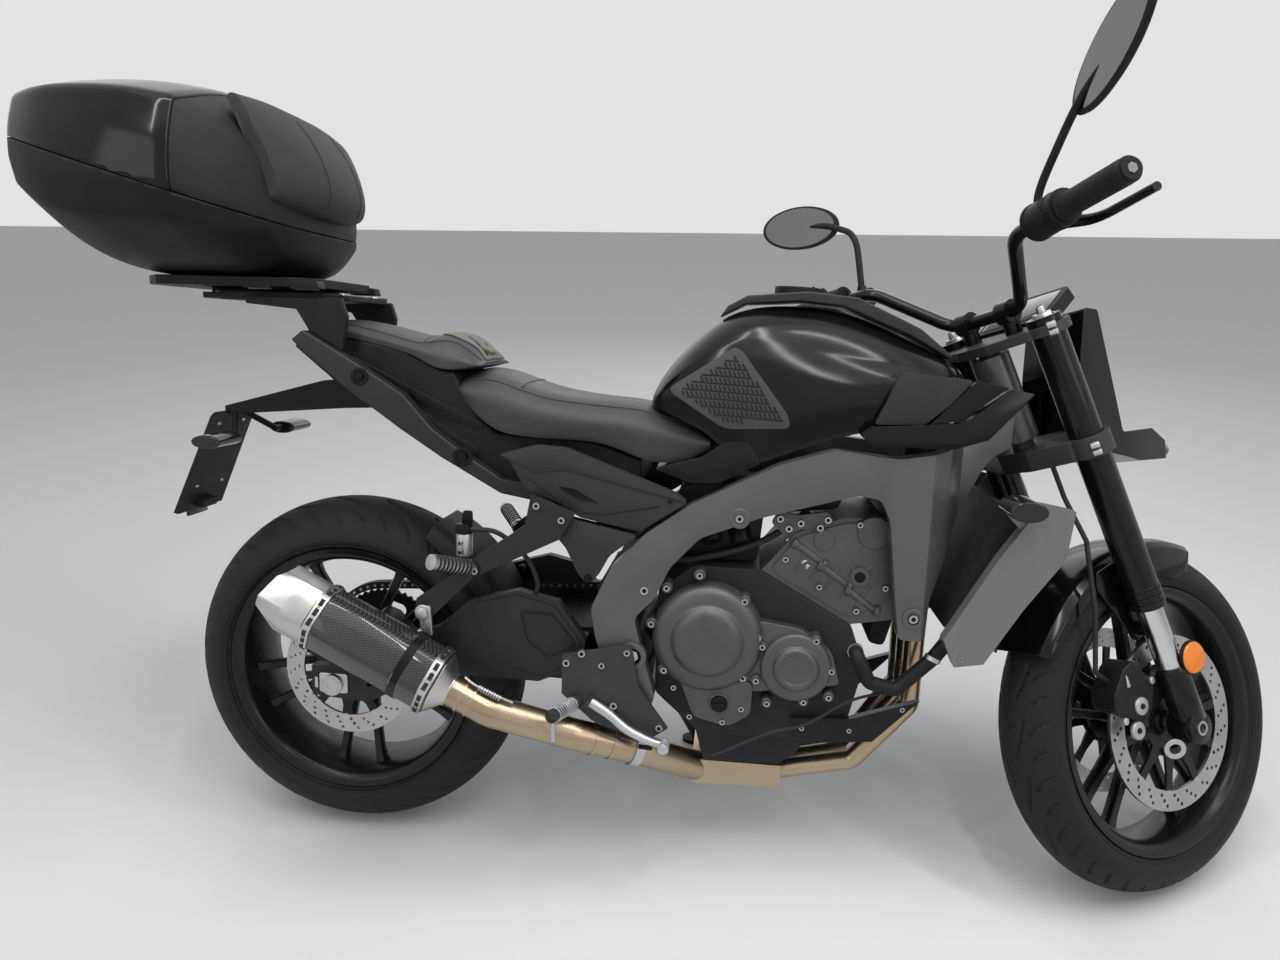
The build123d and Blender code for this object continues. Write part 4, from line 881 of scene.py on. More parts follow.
def makeDisc(name, hub, radius, sides, body, standsFor, carrierRadius):
    plate = bmesh.new()
    inner = radius - discLook["band"]
    half = discLook["thick"] / 2
    lathe(
        plate, Vector((0, 0, 0)), [(-half, inner), (-half, radius), (half, radius), (half, inner)], 120,
        closed=True,
    )
    mesh = bpy.data.meshes.new(name + "Band")
    plate.to_mesh(mesh)
    plate.free()
    band = bpy.data.objects.new(name + "Band", mesh)
    scene.collection.objects.link(band)
    dots = []
    for g in range(discLook["groups"]):
        for inward, turn in discLook["rows"]:
            a = math.radians(g * 360 / discLook["groups"] + turn)
            dots.append(
                (
                    (inner + inward * (discLook["band"] / 36)) * math.cos(a), 0,
                    (inner + inward * (discLook["band"] / 36)) * math.sin(a),
                )
            )
    dotMesh = bpy.data.meshes.new(name + "Holes")
    dotMesh.from_pydata(dots, [], [])
    holes = bpy.data.objects.new(name + "Holes", dotMesh)
    scene.collection.objects.link(holes)
    drilled = runTree(
        band, drillTree,
        {
            "Holes": holes, "Hole Radius": discLook["hole"], "Depth": 30.0,
            "Material": materials["discSteel"],
        },
    )
    bpy.data.objects.remove(band)
    bpy.data.objects.remove(holes)
    whole = bmesh.new()
    for side in sides:
        copy = bmesh.new()
        copy.from_mesh(drilled)
        for face in copy.faces:
            face.material_index = 0
        copy.transform(Matrix.Translation(hub + Vector((0, side, 0))))
        lump = bpy.data.meshes.new("lump")
        copy.to_mesh(lump)
        copy.free()
        whole.from_mesh(lump)
        bpy.data.meshes.remove(lump)
        ring(
            whole, hub + Vector((0, side - 2.3, 0)), (0, 1, 0), carrierRadius + 6, carrierRadius - 9, 4.6,
            60, material=1,
        )
        for k in range(discLook["buttons"]):
            a = math.radians(36 * k + 12)
            way = Vector((math.cos(a), 0, math.sin(a)))
            across = Vector((-math.sin(a), 0, math.cos(a)))
            low, high = carrierRadius - 2, inner + 5
            sections = []
            for r, w in ((low, 13), ((low + high) / 2, 7), (high - 4, 8), (high + 3, 6)):
                sections.append(
                    [
                        hub + Vector((0, side, 0)) + way * r + across * x + Vector((0, y, 0))
                        for x, y in ((-w, -2.2), (w, -2.2), (w, 2.2), (-w, 2.2))
                    ]
                )
            loft(whole, sections, material=1)
            rodBetween(
                whole, hub + Vector((0, side - 2.6, 0)) + way * high,
                hub + Vector((0, side + 2.6, 0)) + way * high, 6.2, count=14, material=2,
            )
    bpy.data.meshes.remove(drilled)
    addPiece(
        name, whole, body, ["discSteel", "rimBlack", "boltSteel"], angle=30, stands=(standsFor,),
    )
    bolts = []
    for side in sides:
        out = 1 if side > 0 else -1
        for k in range(5):
            a = math.radians(72 * k + 30)
            bolts.append(
                (
                    hub + Vector(
                        (
                            (carrierRadius - 2) * math.cos(a), side + out * 2.3,
                            (carrierRadius - 2) * math.sin(a),
                        )
                    ),
                    (0, out, 0), 6.0,
                )
            )
    screws(name + "Screws", body, bolts, head="boltBlack")


makeDisc("rearDiscDrilled", rearHub, 122.5, [-71], "rear_wheel", "rear_disc", 54)
makeDisc("frontDiscsDrilled", frontHub, 149, [-64, 64], "front_wheel", "front_discs", 54)
print("discs done")


# plain castings and mouldings: the solid with its edges softened
def solidCopy(name):
    ob = frame["nodes"][name]
    bm = bmesh.new()
    bm.from_mesh(ob.data)
    bm.transform(ob.matrix_world)
    bmesh.ops.remove_doubles(bm, verts=bm.verts, dist=0.00002)
    return bm


bodyOf = {listed: body for body, names in frame["record"]["behaviour"]["bodies"].items() for listed in names}


secondFinish = {
    "radiator_covers": ("satinPlastic", lambda p: p.z < 322),
    "passenger_pegs": ("castSilver", lambda p: abs(p.y) > 176),
}


def soften(name, width):
    bm = solidCopy(name)
    bmesh.ops.dissolve_limit(bm, angle_limit=math.radians(1.0), verts=bm.verts, edges=bm.edges)
    other, belongs = secondFinish.get(name, (None, None))
    upright = posesByBody[bodyOf[name]].inverted()
    for face in bm.faces:
        face.material_index = 1 if other and belongs(upright @ face.calc_center_median()) else 0
    finishes = [nodeFinish[name], other] if other else nodeFinish[name]
    ob = addPiece(name + "Cast", bm, bodyOf[name], finishes, stands=(name,), local=True)
    edge = ob.modifiers.new("softEdges", "BEVEL")
    edge.width, edge.segments = width / 1000, 2
    edge.limit_method, edge.angle_limit = "ANGLE", math.radians(28)
    edge.use_clamp_overlap = True
    ob.data.set_sharp_from_angle(angle=math.radians(180))
    weigh = ob.modifiers.new("flatFaces", "WEIGHTED_NORMAL")
    weigh.keep_sharp = True
    return ob


softened = {
    "tail_arms": 4.0, "tail_cover": 5.0, "crankcase": 4.0, "cylinder_head": 4.0, "radiator_covers": 3.0,
    "tank_covers": 3.0, "plate_holder": 2.0, "swingarm": 5.0, "rear_caliper": 3.0, "passenger_pegs": 2.0,
    "luggage_rack": 2.0, "side_stand": 2.0, "fork_clamps": 3.0, "meter": 4.0, "headlight": 5.0,
    "front_calipers": 4.0, "flashers": 2.5,
}
for name, width in softened.items():
    soften(name, width)
print("castings softened")


# cushions: covers lofted through their sections, blown up as cloth and capped, then sewn
seatRows = {  # x, top, (shoulder y, z), (side y, z), (foot y, z)
    "rider": [
        (213, 870, (70, 862), (98, 848), (96, 838)), (221, 875, (74, 868), (110, 846), (100, 826)),
        (245, 878, (84, 868), (118, 842), (112, 806)), (285, 874, (92, 866), (128, 838), (122, 776)),
        (330, 851, (96, 850), (134, 822), (126, 771)), (380, 837, (96, 838), (135, 812), (126, 768)),
        (430, 830, (92, 832), (132, 806), (124, 768)),
        (480, 828, (86, 826), (128, 804), (120, 763)), (530, 828, (78, 822), (122, 800), (116, 742)),
        (575, 815, (70, 808), (118, 790), (112, 732)),
        (620, 795, (68, 792), (120, 782), (112, 742)), (648, 780, (66, 778), (121, 776), (112, 756)),
        (655, 777, (66, 776), (120, 774), (112, 760)),
    ],
    "pillion": [
        (-68, 944, (48, 943), (66, 938), (64, 934)), (-60, 948, (50, 947), (74, 939), (72, 931)),
        (-30, 952, (60, 948), (80, 940), (78, 931)), (10, 955, (66, 950), (88, 940), (86, 928)),
        (60, 945, (72, 941), (95, 931), (93, 917)), (110, 933, (78, 929), (102, 920), (100, 908)),
        (145, 925, (82, 921), (107, 912), (105, 897)),
        (165, 931, (84, 925), (110, 908), (108, 886)), (190, 937, (82, 930), (112, 900), (110, 876)),
        (215, 931, (76, 924), (110, 896), (108, 876)),
        (240, 912, (72, 905), (104, 888), (102, 880)), (253, 896, (68, 892), (99, 886), (97, 882)),
        (260, 890, (66, 888), (96, 884), (94, 883)),
    ],
}
padLook = {
    "outer": [
        [(-150, 1316), (-118, 1318), (-62, 1272), (-28, 1222), (-10, 1168), (-18, 1128), (-44, 1120)],
        [(-126, 1300), (-112, 1300), (-92, 1270), (-80, 1230), (-70, 1180), (-72, 1150), (-80, 1142)],
    ],
    "inner": [
        [(-62, 1124), (-74, 1230), (-104, 1268), (-142, 1304)],
        [(-90, 1146), (-96, 1200), (-106, 1250), (-128, 1292)],
    ],
    "reach": 188.0,
}


def seatRing(x, top, shoulder, side, foot):
    half = [
        (0, foot[1]), (foot[0] * 0.6, foot[1]), foot, ((foot[0] + side[0]) / 2, (foot[1] + side[1]) / 2),
        side, shoulder, (shoulder[0] * 0.5, (top * 2 + shoulder[1]) / 3), (0, top),
    ]
    return [(x, -y, z) for y, z in half] + [(x, y, z) for y, z in reversed(half[1:-1])]


def padRing(y):
    share, result = (abs(y) / padLook["reach"]) ** 2, []
    for key in ("outer", "inner"):
        result += [
            (ax + (bx - ax) * share, y, az + (bz - az) * share) for (ax, az), (bx, bz) in zip(*padLook[key])
        ]
    return result


clothLook = {"pressure": 4.0, "quality": 4, "frames": 20, "evened": 6, "fill": 0.6, "welt": 0.0013}


def cushion(name, standsFor, finishName, sections, creased, cap, seams):
    bm = bmesh.new()
    rings = loft(bm, sections)[0]
    crease = bm.edges.layers.float.new("crease_edge")
    for a, b in zip(rings, rings[1:]):
        for k in creased:
            bm.edges.get((a[k], b[k]))[crease] = 0.75
    for end in (rings[0], rings[-1]):
        for k in range(len(end)):
            bm.edges.get((end[k], end[(k + 1) % len(end)]))[crease] = 0.55
    ob = addPiece(name, bm, bodyOf[standsFor], finishName, subdivide=2)
    graph = bpy.context.evaluated_depsgraph_get()
    graph.update()
    rest = bpy.data.meshes.new_from_object(ob.evaluated_get(graph))
    ob.modifiers.clear()
    ob.data = rest
    start = [v.co.copy() for v in rest.vertices]
    cloth = ob.modifiers.new("cloth", "CLOTH")
    cloth.settings.use_pressure = True
    cloth.settings.uniform_pressure_force = clothLook["pressure"]
    cloth.settings.effector_weights.gravity = 0
    cloth.settings.quality = clothLook["quality"]
    for number in range(clothLook["frames"]):
        scene.frame_set(number + 1)
    graph = bpy.context.evaluated_depsgraph_get()
    blown = [v.co.copy() for v in ob.evaluated_get(graph).data.vertices]
    ob.modifiers.clear()
    scene.frame_set(1)
    moves = [new - old for old, new in zip(start, blown)]
    moves = [move.normalized() * min(move.length, cap / 1000) for move in moves]
    for _ in range(clothLook["evened"]):  # the pull is evened out along the cover
        total = [move.copy() for move in moves]
        count = [1] * len(moves)
        for edge in rest.edges:
            a, b = edge.vertices
            total[a] += moves[b]
            total[b] += moves[a]
            count[a] += 1
            count[b] += 1
        moves = [t / n for t, n in zip(total, count)]
    solid = frame["nodes"][standsFor]
    corners = [solid.matrix_world @ Vector(c) for c in solid.bound_box]
    low = [min(c[i] for c in corners) for i in range(3)]
    high = [max(c[i] for c in corners) for i in range(3)]
    for vert, old, move in zip(rest.vertices, start, moves):
        vert.co = [min(max((old + move)[i], low[i]), high[i]) for i in range(3)]
    rest.polygons.foreach_set("use_smooth", [True] * len(rest.polygons))
    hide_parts(standsFor)
    smooth = ob.modifiers.new("smooth", "SUBSURF")
    smooth.levels = smooth.render_levels = 1
    skin = BVHTree.FromPolygons([v.co for v in rest.vertices], [p.vertices[:] for p in rest.polygons])
    pose = posesByBody[bodyOf[standsFor]]
    welts = bmesh.new()
    for seam in seams:
        path = []
        for (p, q) in zip(seam, seam[1:]):
            for k in range(12):
                spot, normal = skin.find_nearest(pose @ Vector(p).lerp(Vector(q), k / 12))[:2]
                path.append(spot + normal * 0.0004)
        tubeAlong(welts, path, clothLook["welt"], count=6, steps=1, bend=0.3)
    addPiece(name + "Welts", welts, bodyOf[standsFor], finishName, local=True)
    return skin


def bothSides(lines):
    return [[(x, y * side, z) for x, y, z in line] for line in lines for side in (-1, 1)]


riderSeams = bothSides(
    [[(x, shoulder[0] + 6, shoulder[1]) for x, top, shoulder, side, foot in seatRows["rider"][1:-1]]]
) + [[(330, y, 851 + 6) for y in range(-96, 97, 24)]]
pillionSeams = bothSides(
    [[(x, shoulder[0] + 4, shoulder[1]) for x, top, shoulder, side, foot in seatRows["pillion"][1:-1]]]
) + [[(150, y, 935) for y in range(-80, 81, 20)]]
padSeams = bothSides([[(-70, y, 1282 + 6), (-30, y, 1226), (-8, y, 1170), (-14, y, 1130)] for y in (62,)])
cushion(
    "riderSeatPad", "rider_seat", "seatCover", [seatRing(*row) for row in seatRows["rider"]], (2, 12), 4,
    riderSeams,
)
pillionSkin = cushion(
    "pillionSeatPad", "pillion_seat", "seatCover", [seatRing(*row) for row in seatRows["pillion"]], (2, 12),
    3.5, pillionSeams,
)
cushion(
    "lidBackrest", "lid_pad", "padGrey",
    [padRing(y) for y in (-188, -184, -160, -120, -80, -40, 0, 40, 80, 120, 160, 184, 188)], (7, 10), 5,
    padSeams,
)


insertLook = {
    "x": (176, 255), "half": 64.0, "rows": 30, "columns": 48, "lift": 0.0014, "slotX": (212, 250),
    "slotY": (20, 36),
}


def makeSeatInsert():  # the moulded trim on the nose of the pillion seat, with its two slots
    bm = bmesh.new()
    pose = posesByBody["chassis"]
    down = (pose.to_3x3() @ Vector((0, 0, -1))).normalized()
    grid = []
    for i in range(insertLook["rows"] + 1):
        share = i / insertLook["rows"]
        x = insertLook["x"][0] + (insertLook["x"][1] - insertLook["x"][0]) * share
        half = insertLook["half"] * (0.80 + 0.20 * math.sin(math.pi * min(1.0, share * 1.3)))
        row = []
        for k in range(insertLook["columns"] + 1):
            y = half * (2 * k / insertLook["columns"] - 1)
            hit = pillionSkin.ray_cast(pose @ Vector((x, y, 990)), down)
            if hit[0] is None:
                hit = pillionSkin.find_nearest(pose @ Vector((x, y, 900)))
            (near, far), (slim, wide) = insertLook["slotX"], insertLook["slotY"]
            inSlot = near < x < far and slim < abs(y) < wide
            row.append((bm.verts.new(hit[0] - down * (0.0 if inSlot else insertLook["lift"])), inSlot))
        grid.append(row)
    for a, b in zip(grid, grid[1:]):
        for k in range(insertLook["columns"]):
            four = (a[k], a[k + 1], b[k + 1], b[k])
            bm.faces.new([v for v, dark in four]).material_index = 1 if all(dark for v, dark in four) else 0
    bmesh.ops.recalc_face_normals(bm, faces=bm.faces)
    ob = addPiece("pillionInsert", bm, "chassis", ["seatInsert", "satinPlastic"], local=True, angle=50)
    wall = ob.modifiers.new("wall", "SOLIDIFY")
    wall.thickness, wall.offset = 0.0012, 0.0


makeSeatInsert()
print("cushions blown")


# top case: one smooth skin, cut at its seam
caseLook = {
    "wall": 3.2, "seamRear": 1236.0, "seamFront": 1100.0, "panelAt": -170.0, "rear": -515.0, "front": -48.0,
}
caseStations = [  # x, half width, bottom, top
    (-512, 104, 1178, 1262), (-500, 182, 1146, 1296), (-466, 232, 1096, 1326), (-408, 263, 1050, 1343),
    (-340, 277, 1023, 1346), (-255, 284, 1022, 1342),
    (-185, 281, 1022, 1328), (-140, 264, 1022, 1308), (-104, 228, 1026, 1272), (-76, 178, 1046, 1236),
    (-50, 98, 1086, 1150),
]


def caseRing(x, w, low, high):
    tall = high - low
    half = [
        (0.0, low), (0.58 * w, low), (0.95 * w, low + 0.25 * tall), (w, low + 0.42 * tall),
        (w, low + 0.62 * tall), (0.92 * w, low + 0.84 * tall), (0.40 * w, high), (0.0, high),
    ]
    return [(x, -y, z) for y, z in half] + [(x, y, z) for y, z in reversed(half[1:-1])]


def makeCase():
    bm = bmesh.new()
    rings = loft(bm, [caseRing(*row) for row in caseStations])[0]
    crease = bm.edges.layers.float.new("crease_edge")
    sharp = {2: 0.92, 5: 0.95, 9: 0.95, 12: 0.92, 3: 0.5, 11: 0.5}
    for a, b in zip(rings, rings[1:]):
        for k, value in sharp.items():
            bm.edges.get((a[k], b[k]))[crease] = value
    for at, value in ((1, 0.75), (2, 0.75), (6, 0.6), (9, 0.6), (0, 0.85)):
        for k in range(14):
            edge = bm.edges.get((rings[at][k], rings[at][(k + 1) % 14]))
            edge[crease] = max(edge[crease], value)
    skin = addPiece("caseSkin", bm, "chassis", "casePlastic", subdivide=3)
    graph = bpy.context.evaluated_depsgraph_get()
    graph.update()
    result = bpy.data.meshes.new_from_object(skin.evaluated_get(graph))
    bpy.data.objects.remove(skin)
    slope = (caseLook["seamRear"] - caseLook["seamFront"]) / (caseLook["front"] - caseLook["rear"])
    pose = posesByBody["chassis"]
    turn = pose.to_3x3()
    seamAt = pose @ Vector((caseLook["rear"], 0, caseLook["seamRear"]))
    seamUp = (turn @ Vector((slope, 0, 1))).normalized()
    panelAt = pose @ Vector((caseLook["panelAt"], 0, 1200))
    panelWay = (turn @ Vector((1, 0, 0.0))).normalized()
    for part, body, keepAbove in (("case_shell", "chassis", False), ("case_lid", "case_lid", True)):
        bm = bmesh.new()
        bm.from_mesh(result)
        geom = bm.verts[:] + bm.edges[:] + bm.faces[:]
        shift = seamUp * (0.0016 if keepAbove else -0.0004)
        bmesh.ops.bisect_plane(
            bm, geom=geom, plane_co=seamAt + shift, plane_no=seamUp, clear_inner=keepAbove,
            clear_outer=not keepAbove,
        )
        if keepAbove:
            geom = bm.verts[:] + bm.edges[:] + bm.faces[:]
            bmesh.ops.bisect_plane(bm, geom=geom, plane_co=panelAt, plane_no=panelWay)
            panel = [f for f in bm.faces if (f.calc_center_median() - panelAt).dot(panelWay) < 0]
            for face in panel:
                face.material_index = 1
            edges = list({e for f in panel for e in f.edges})
            bmesh.ops.split_edges(
                bm,
                edges=[
                    e for e in edges
                    if len({f in panel for f in e.link_faces}) == 2 or any(
                        f not in panel for f in e.link_faces
                    )
                ],
            )
            grown = {}
            for face in bm.faces:
                if face.material_index == 0:
                    for vert in face.verts:
                        grown[vert] = vert.co - vert.normal * 0.0016
            for vert, spot in grown.items():
                vert.co = spot
        ob = addPiece(
            part + "Skin", bm, body, ["caseLidPlastic", "glossBlack"] if keepAbove else ["casePlastic"],
            angle=40, stands=(part,), local=True,
        )
        wall = ob.modifiers.new("wall", "SOLIDIFY")
        wall.thickness, wall.offset = caseLook["wall"] / 1000, -1.0
    bpy.data.meshes.remove(result)


makeCase()
print("case done")


# fuel tank: sections along the machine, with one crease on each side
tankStations = [  # x, top, crease y, crease z, wide y, wide z, low y, low z
    (543, 835, 50, 834, 58, 832, 58, 829), (560, 876, 84, 852, 88, 838, 86, 821),
    (600, 925, 104, 890, 110, 850, 104, 804), (652, 973, 113, 926, 132, 862, 120, 786),
    (700, 997, 117, 944, 143, 868, 132, 728), (770, 1003, 117, 938, 147, 862, 136, 757),
    (840, 1001, 115, 924, 148, 860, 138, 786), (900, 983, 113, 913, 147, 864, 136, 802),
    (955, 959, 109, 904, 138, 862, 130, 808), (1005, 935, 100, 897, 124, 866, 116, 818),
    (1044, 913, 86, 892, 94, 876, 90, 856), (1062, 903, 64, 890, 66, 882, 62, 872),
]


def makeTank():
    bm = bmesh.new()
    sections = []
    for x, top, cy, cz, wy, wz, ly, lz in tankStations:
        half = [
            (0, top), (cy * 0.45, top - (top - cz) * 0.10), (cy * 0.82, top - (top - cz) * 0.52), (cy, cz),
            ((cy + wy) / 2 + 2, (cz * 0.62 + wz * 0.38)), (wy, wz), (wy * 0.5 + ly * 0.5, (wz + lz) / 2),
            (ly, lz), (ly * 0.5, lz),
        ]
        sections.append([(x, y, z) for y, z in half] + [(x, -y, z) for y, z in reversed(half[1:])])
    rings = loft(bm, sections)[0]
    crease = bm.edges.layers.float.new("crease_edge")
    count = len(sections[0])
    for a, b in zip(rings, rings[1:]):
        for k, value in (
            (3, 0.85), (count - 3, 0.85), (7, 0.8), (count - 7, 0.8), (8, 0.5), (count - 8, 0.5),
        ):
            bm.edges.get((a[k], b[k]))[crease] = value
    addPiece("tankShell", bm, "chassis", "tankGloss", stands=("fuel_tank",), subdivide=3, angle=60)
    strip = bmesh.new()
    for side in (-1, 1):
        castPlate(
            strip,
            rounded(
                [(560, 727), (622, 706), (668, 708), (734, 743), (712, 780), (674, 776), (636, 749)], 6,
            ),
            side * 60, side * 137, 6, 5,
        )
    addPiece("tankSkirt", strip, "chassis", "tankGloss", bevel=3, segments=3)


makeTank()


# knee pads: a moulded sheet with rows of slanted bars under thin ridges; the bars are dark satin plastic, painted
# shade for the shadowed grooves of the pattern
kneeLook = {
    "outline": [(576, 858), (683, 928), (695, 924), (773, 824), (777, 803), (673, 798)], "row": 12.5,
    "step": 7.4, "edge": 8.0, "proud": 1.3,
}


def insideOutline(x, z, outline, margin):
    inside = False
    near = 1e9
    count = len(outline)
    for i in range(count):
        (x0, z0), (x1, z1) = outline[i], outline[(i + 1) % count]
        if (z0 > z) != (z1 > z) and x < (x1 - x0) * (z - z0) / (z1 - z0) + x0:
            inside = not inside
        a, b, p = Vector((x0, z0)), Vector((x1, z1)), Vector((x, z))
        t = max(0, min(1, (p - a).dot(b - a) / (b - a).length_squared))
        near = min(near, (p - a.lerp(b, t)).length)
    return inside and near > margin


def makeKneePads():
    bm = bmesh.new()
    for side in (-1, 1):
        castPlate(bm, rounded(kneeLook["outline"], 16, 5), side * 100, side * 147.5, 7, 3)
    for vert in bm.verts:  # lie along the tank
        high = max(0.0, vert.co.z - 850)
        ahead = max(0.0, 700 - vert.co.x)
        vert.co.y -= math.copysign(high * 0.16 + ahead * 0.085, vert.co.y)
    bmesh.ops.triangulate(bm, faces=bm.faces)
    sheet = BVHTree.FromBMesh(bm)
    addPiece("kneePadSheet", bm, "chassis", "kneeRubber", stands=("knee_pads",), bevel=2)
    grooveShadeBars = bmesh.new()

    def raised(side, corners):
        spots = []
        for x, z in corners:
            hit = sheet.ray_cast(Vector((x, side * 300, z)), Vector((0, -side, 0)))
            if hit[0] is None or not insideOutline(x, z, kneeLook["outline"], kneeLook["edge"]):
                return
            spots.append(hit[0])
        loft(grooveShadeBars, [[(p.x, p.y + side * up, p.z) for p in spots] for up in (-1.0, kneeLook["proud"])])

    for side in (-1, 1):
        z = 806.0
        while z < 922:
            x = 580.0
            while x < 776:
                tilt = (x - 680) * -0.05
                raised(
                    side,
                    [
                        (x, z + tilt), (x + kneeLook["step"], z + tilt),
                        (x + kneeLook["step"], z + tilt + 1.5), (x, z + tilt + 1.5),
                    ],
                )
                raised(
                    side,
                    [
                        (x - 1.6, z + tilt + 9.8), (x + 0.8, z + tilt + 9.8), (x + 4.4, z + tilt + 3.0),
                        (x + 1.8, z + tilt + 3.0),
                    ],
                )
                x += kneeLook["step"]
            z += kneeLook["row"]
    # the bars take the dark satin plastic as painted shade: they stand for the shadowed grooves between the pad's
    # ridges
    addPiece("kneePadBars", grooveShadeBars, "chassis", "satinPlastic", angle=20)


makeKneePads()
print("tank done")


# main frame: a cast spar each side, sloped at its rim and drawn in to the head
frameLook = {
    "outline": [
        (622, 672), (764, 744), (850, 771), (950, 761), (1028, 774), (1090, 812), (1100, 880), (1150, 860),
        (1148, 776), (1116, 759), (1098, 732), (1056, 646), (1016, 532), (1013, 464), (970, 464),
        (960, 535), (944, 660), (928, 694), (891, 700), (736, 655), (641, 617), (593, 564), (570, 511),
        (536, 474), (548, 423), (575, 336), (560, 300), (525, 297), (502, 349), (471, 435), (462, 487),
        (494, 558), (551, 620),
    ],
    "outer": [(440, 150), (1006, 146), (1036, 122), (1066, 68), (1180, 40)],
    "inner": [(430, 114), (1000, 112), (1012, 102), (1050, 36), (1180, 8)],
}


def along(table, x):
    for (x0, y0), (x1, y1) in zip(table, table[1:]):
        if x <= x1:
            return y0 + (y1 - y0) * max(0.0, (x - x0) / (x1 - x0))
    return table[-1][1]


def makeFrame():
    bm = bmesh.new()
    for side in (-1, 1):
        castPlate(bm, rounded(frameLook["outline"], 9, 3), side * 114, side * 150, 11, 9)
    for x in (1006, 1036, 1066, 1012, 1050):
        bmesh.ops.bisect_plane(
            bm, geom=bm.verts[:] + bm.edges[:] + bm.faces[:], plane_co=(x, 0, 0), plane_no=(1, 0, 0),
        )
    for vert in bm.verts:
        share = (abs(vert.co.y) - 114) / 36
        low, high = along(frameLook["inner"], vert.co.x), along(frameLook["outer"], vert.co.x)
        vert.co.y = math.copysign(low + (high - low) * share, vert.co.y)
    foot, top = onFork(0, 0, 866), onFork(0, 0, 1018)
    rodBetween(bm, foot, top, 30.5, count=40)
    for x, z in ((522, 560), (548, 318)):
        stud(bm, x, z, -140, 140, 13, count=24)
    stud(bm, 535, 412, -124, 124, 11.5, count=24)
    rodBetween(bm, (566 - 2, 112, 262 - 3), (566, 121, 262), 16, count=24)
    castPlate(
        bm, rounded([(534, 330), (570, 330), (588, 262), (577, 242), (557, 242), (549, 262)], 5), 100,
        114.4, 3, 2,
    )
    addPiece("mainSpars", bm, "chassis", "frameCast", stands=("main_frame",), bevel=3.2, segments=3)
    trim = bmesh.new()
    for side in (-1, 1):
        for x, z, big in ((704, 653, 17), (552, 523, 18), (991, 502, 17)):
            ring(trim, (x, side * 141, z), (0, side, 0), big, big * 0.62, 8, 32)
            stud(trim, x, z, side * 139, side * 145, big * 0.6, count=24, material=1)
        ring(trim, (535, side * 141, 408), (0, side, 0), 24, 15, 15.5, 36)
        stud(trim, 535, 408, side * 139, side * 150, 14.4, count=24, material=1)
        stud(trim, 535, 408, side * 150, side * 154.5, 11, count=6, material=2)
        outline = [
            (651 + 17 * math.cos(a * math.pi / 12), 637 + 11 * math.sin(a * math.pi / 12))
            for a in range(24)
        ]
        castPlate(trim, outline, side * 140, side * 143.5, 3, 1.5, material=1)
        wedge = rounded([(1006, 690), (1018, 700), (1040, 640), (1004, 530), (994, 528)], 5)
        castPlate(trim, wedge, side * 138, side * 141.6, 3, 2)
    for vert in trim.verts:
        if vert.co.x > 1006:
            vert.co.y = math.copysign(
                abs(vert.co.y) - (146 - along(frameLook["outer"], vert.co.x)), vert.co.y,
            )
    addPiece("sparTrim", trim, "chassis", ["frameCast", "boltBlack", "castSilver"], bevel=0.8)
    screws(
        "sparScrews", "chassis",
        sideways(((704, 144.5, 653, 7), (552, 144.5, 523, 8), (991, 144.5, 502, 8))),
    )


makeFrame()
print("frame done")


# engine covers: turned faces with bosses and screws
engineLook = {
    "clutch": [
        (-111, 94.5), (-128, 94.5), (-137, 92), (-144, 86), (-148.5, 78), (-150, 68), (-151, 62),
        (-156, 58), (-161, 52), (-164, 44), (-165, 0.01),
    ],
    "pump": [
        (-111, 59.5), (-137, 59.5), (-142.5, 56), (-144.5, 49), (-145.5, 39), (-150, 36.5), (-153, 33),
        (-153.5, 27), (-151.5, 25), (-151.5, 0.01),
    ],
    "clutchBolts": [(585, 531), (642, 557), (722, 515), (748, 451), (725, 375), (585, 380), (560, 464)],
    "pumpBolts": [(840, 451), (868, 400), (866, 354), (825, 343), (764, 336), (752, 435), (744, 375)],
    "lowBolts": [(606, 352), (722, 322), (691, 296), (635, 302)],
}


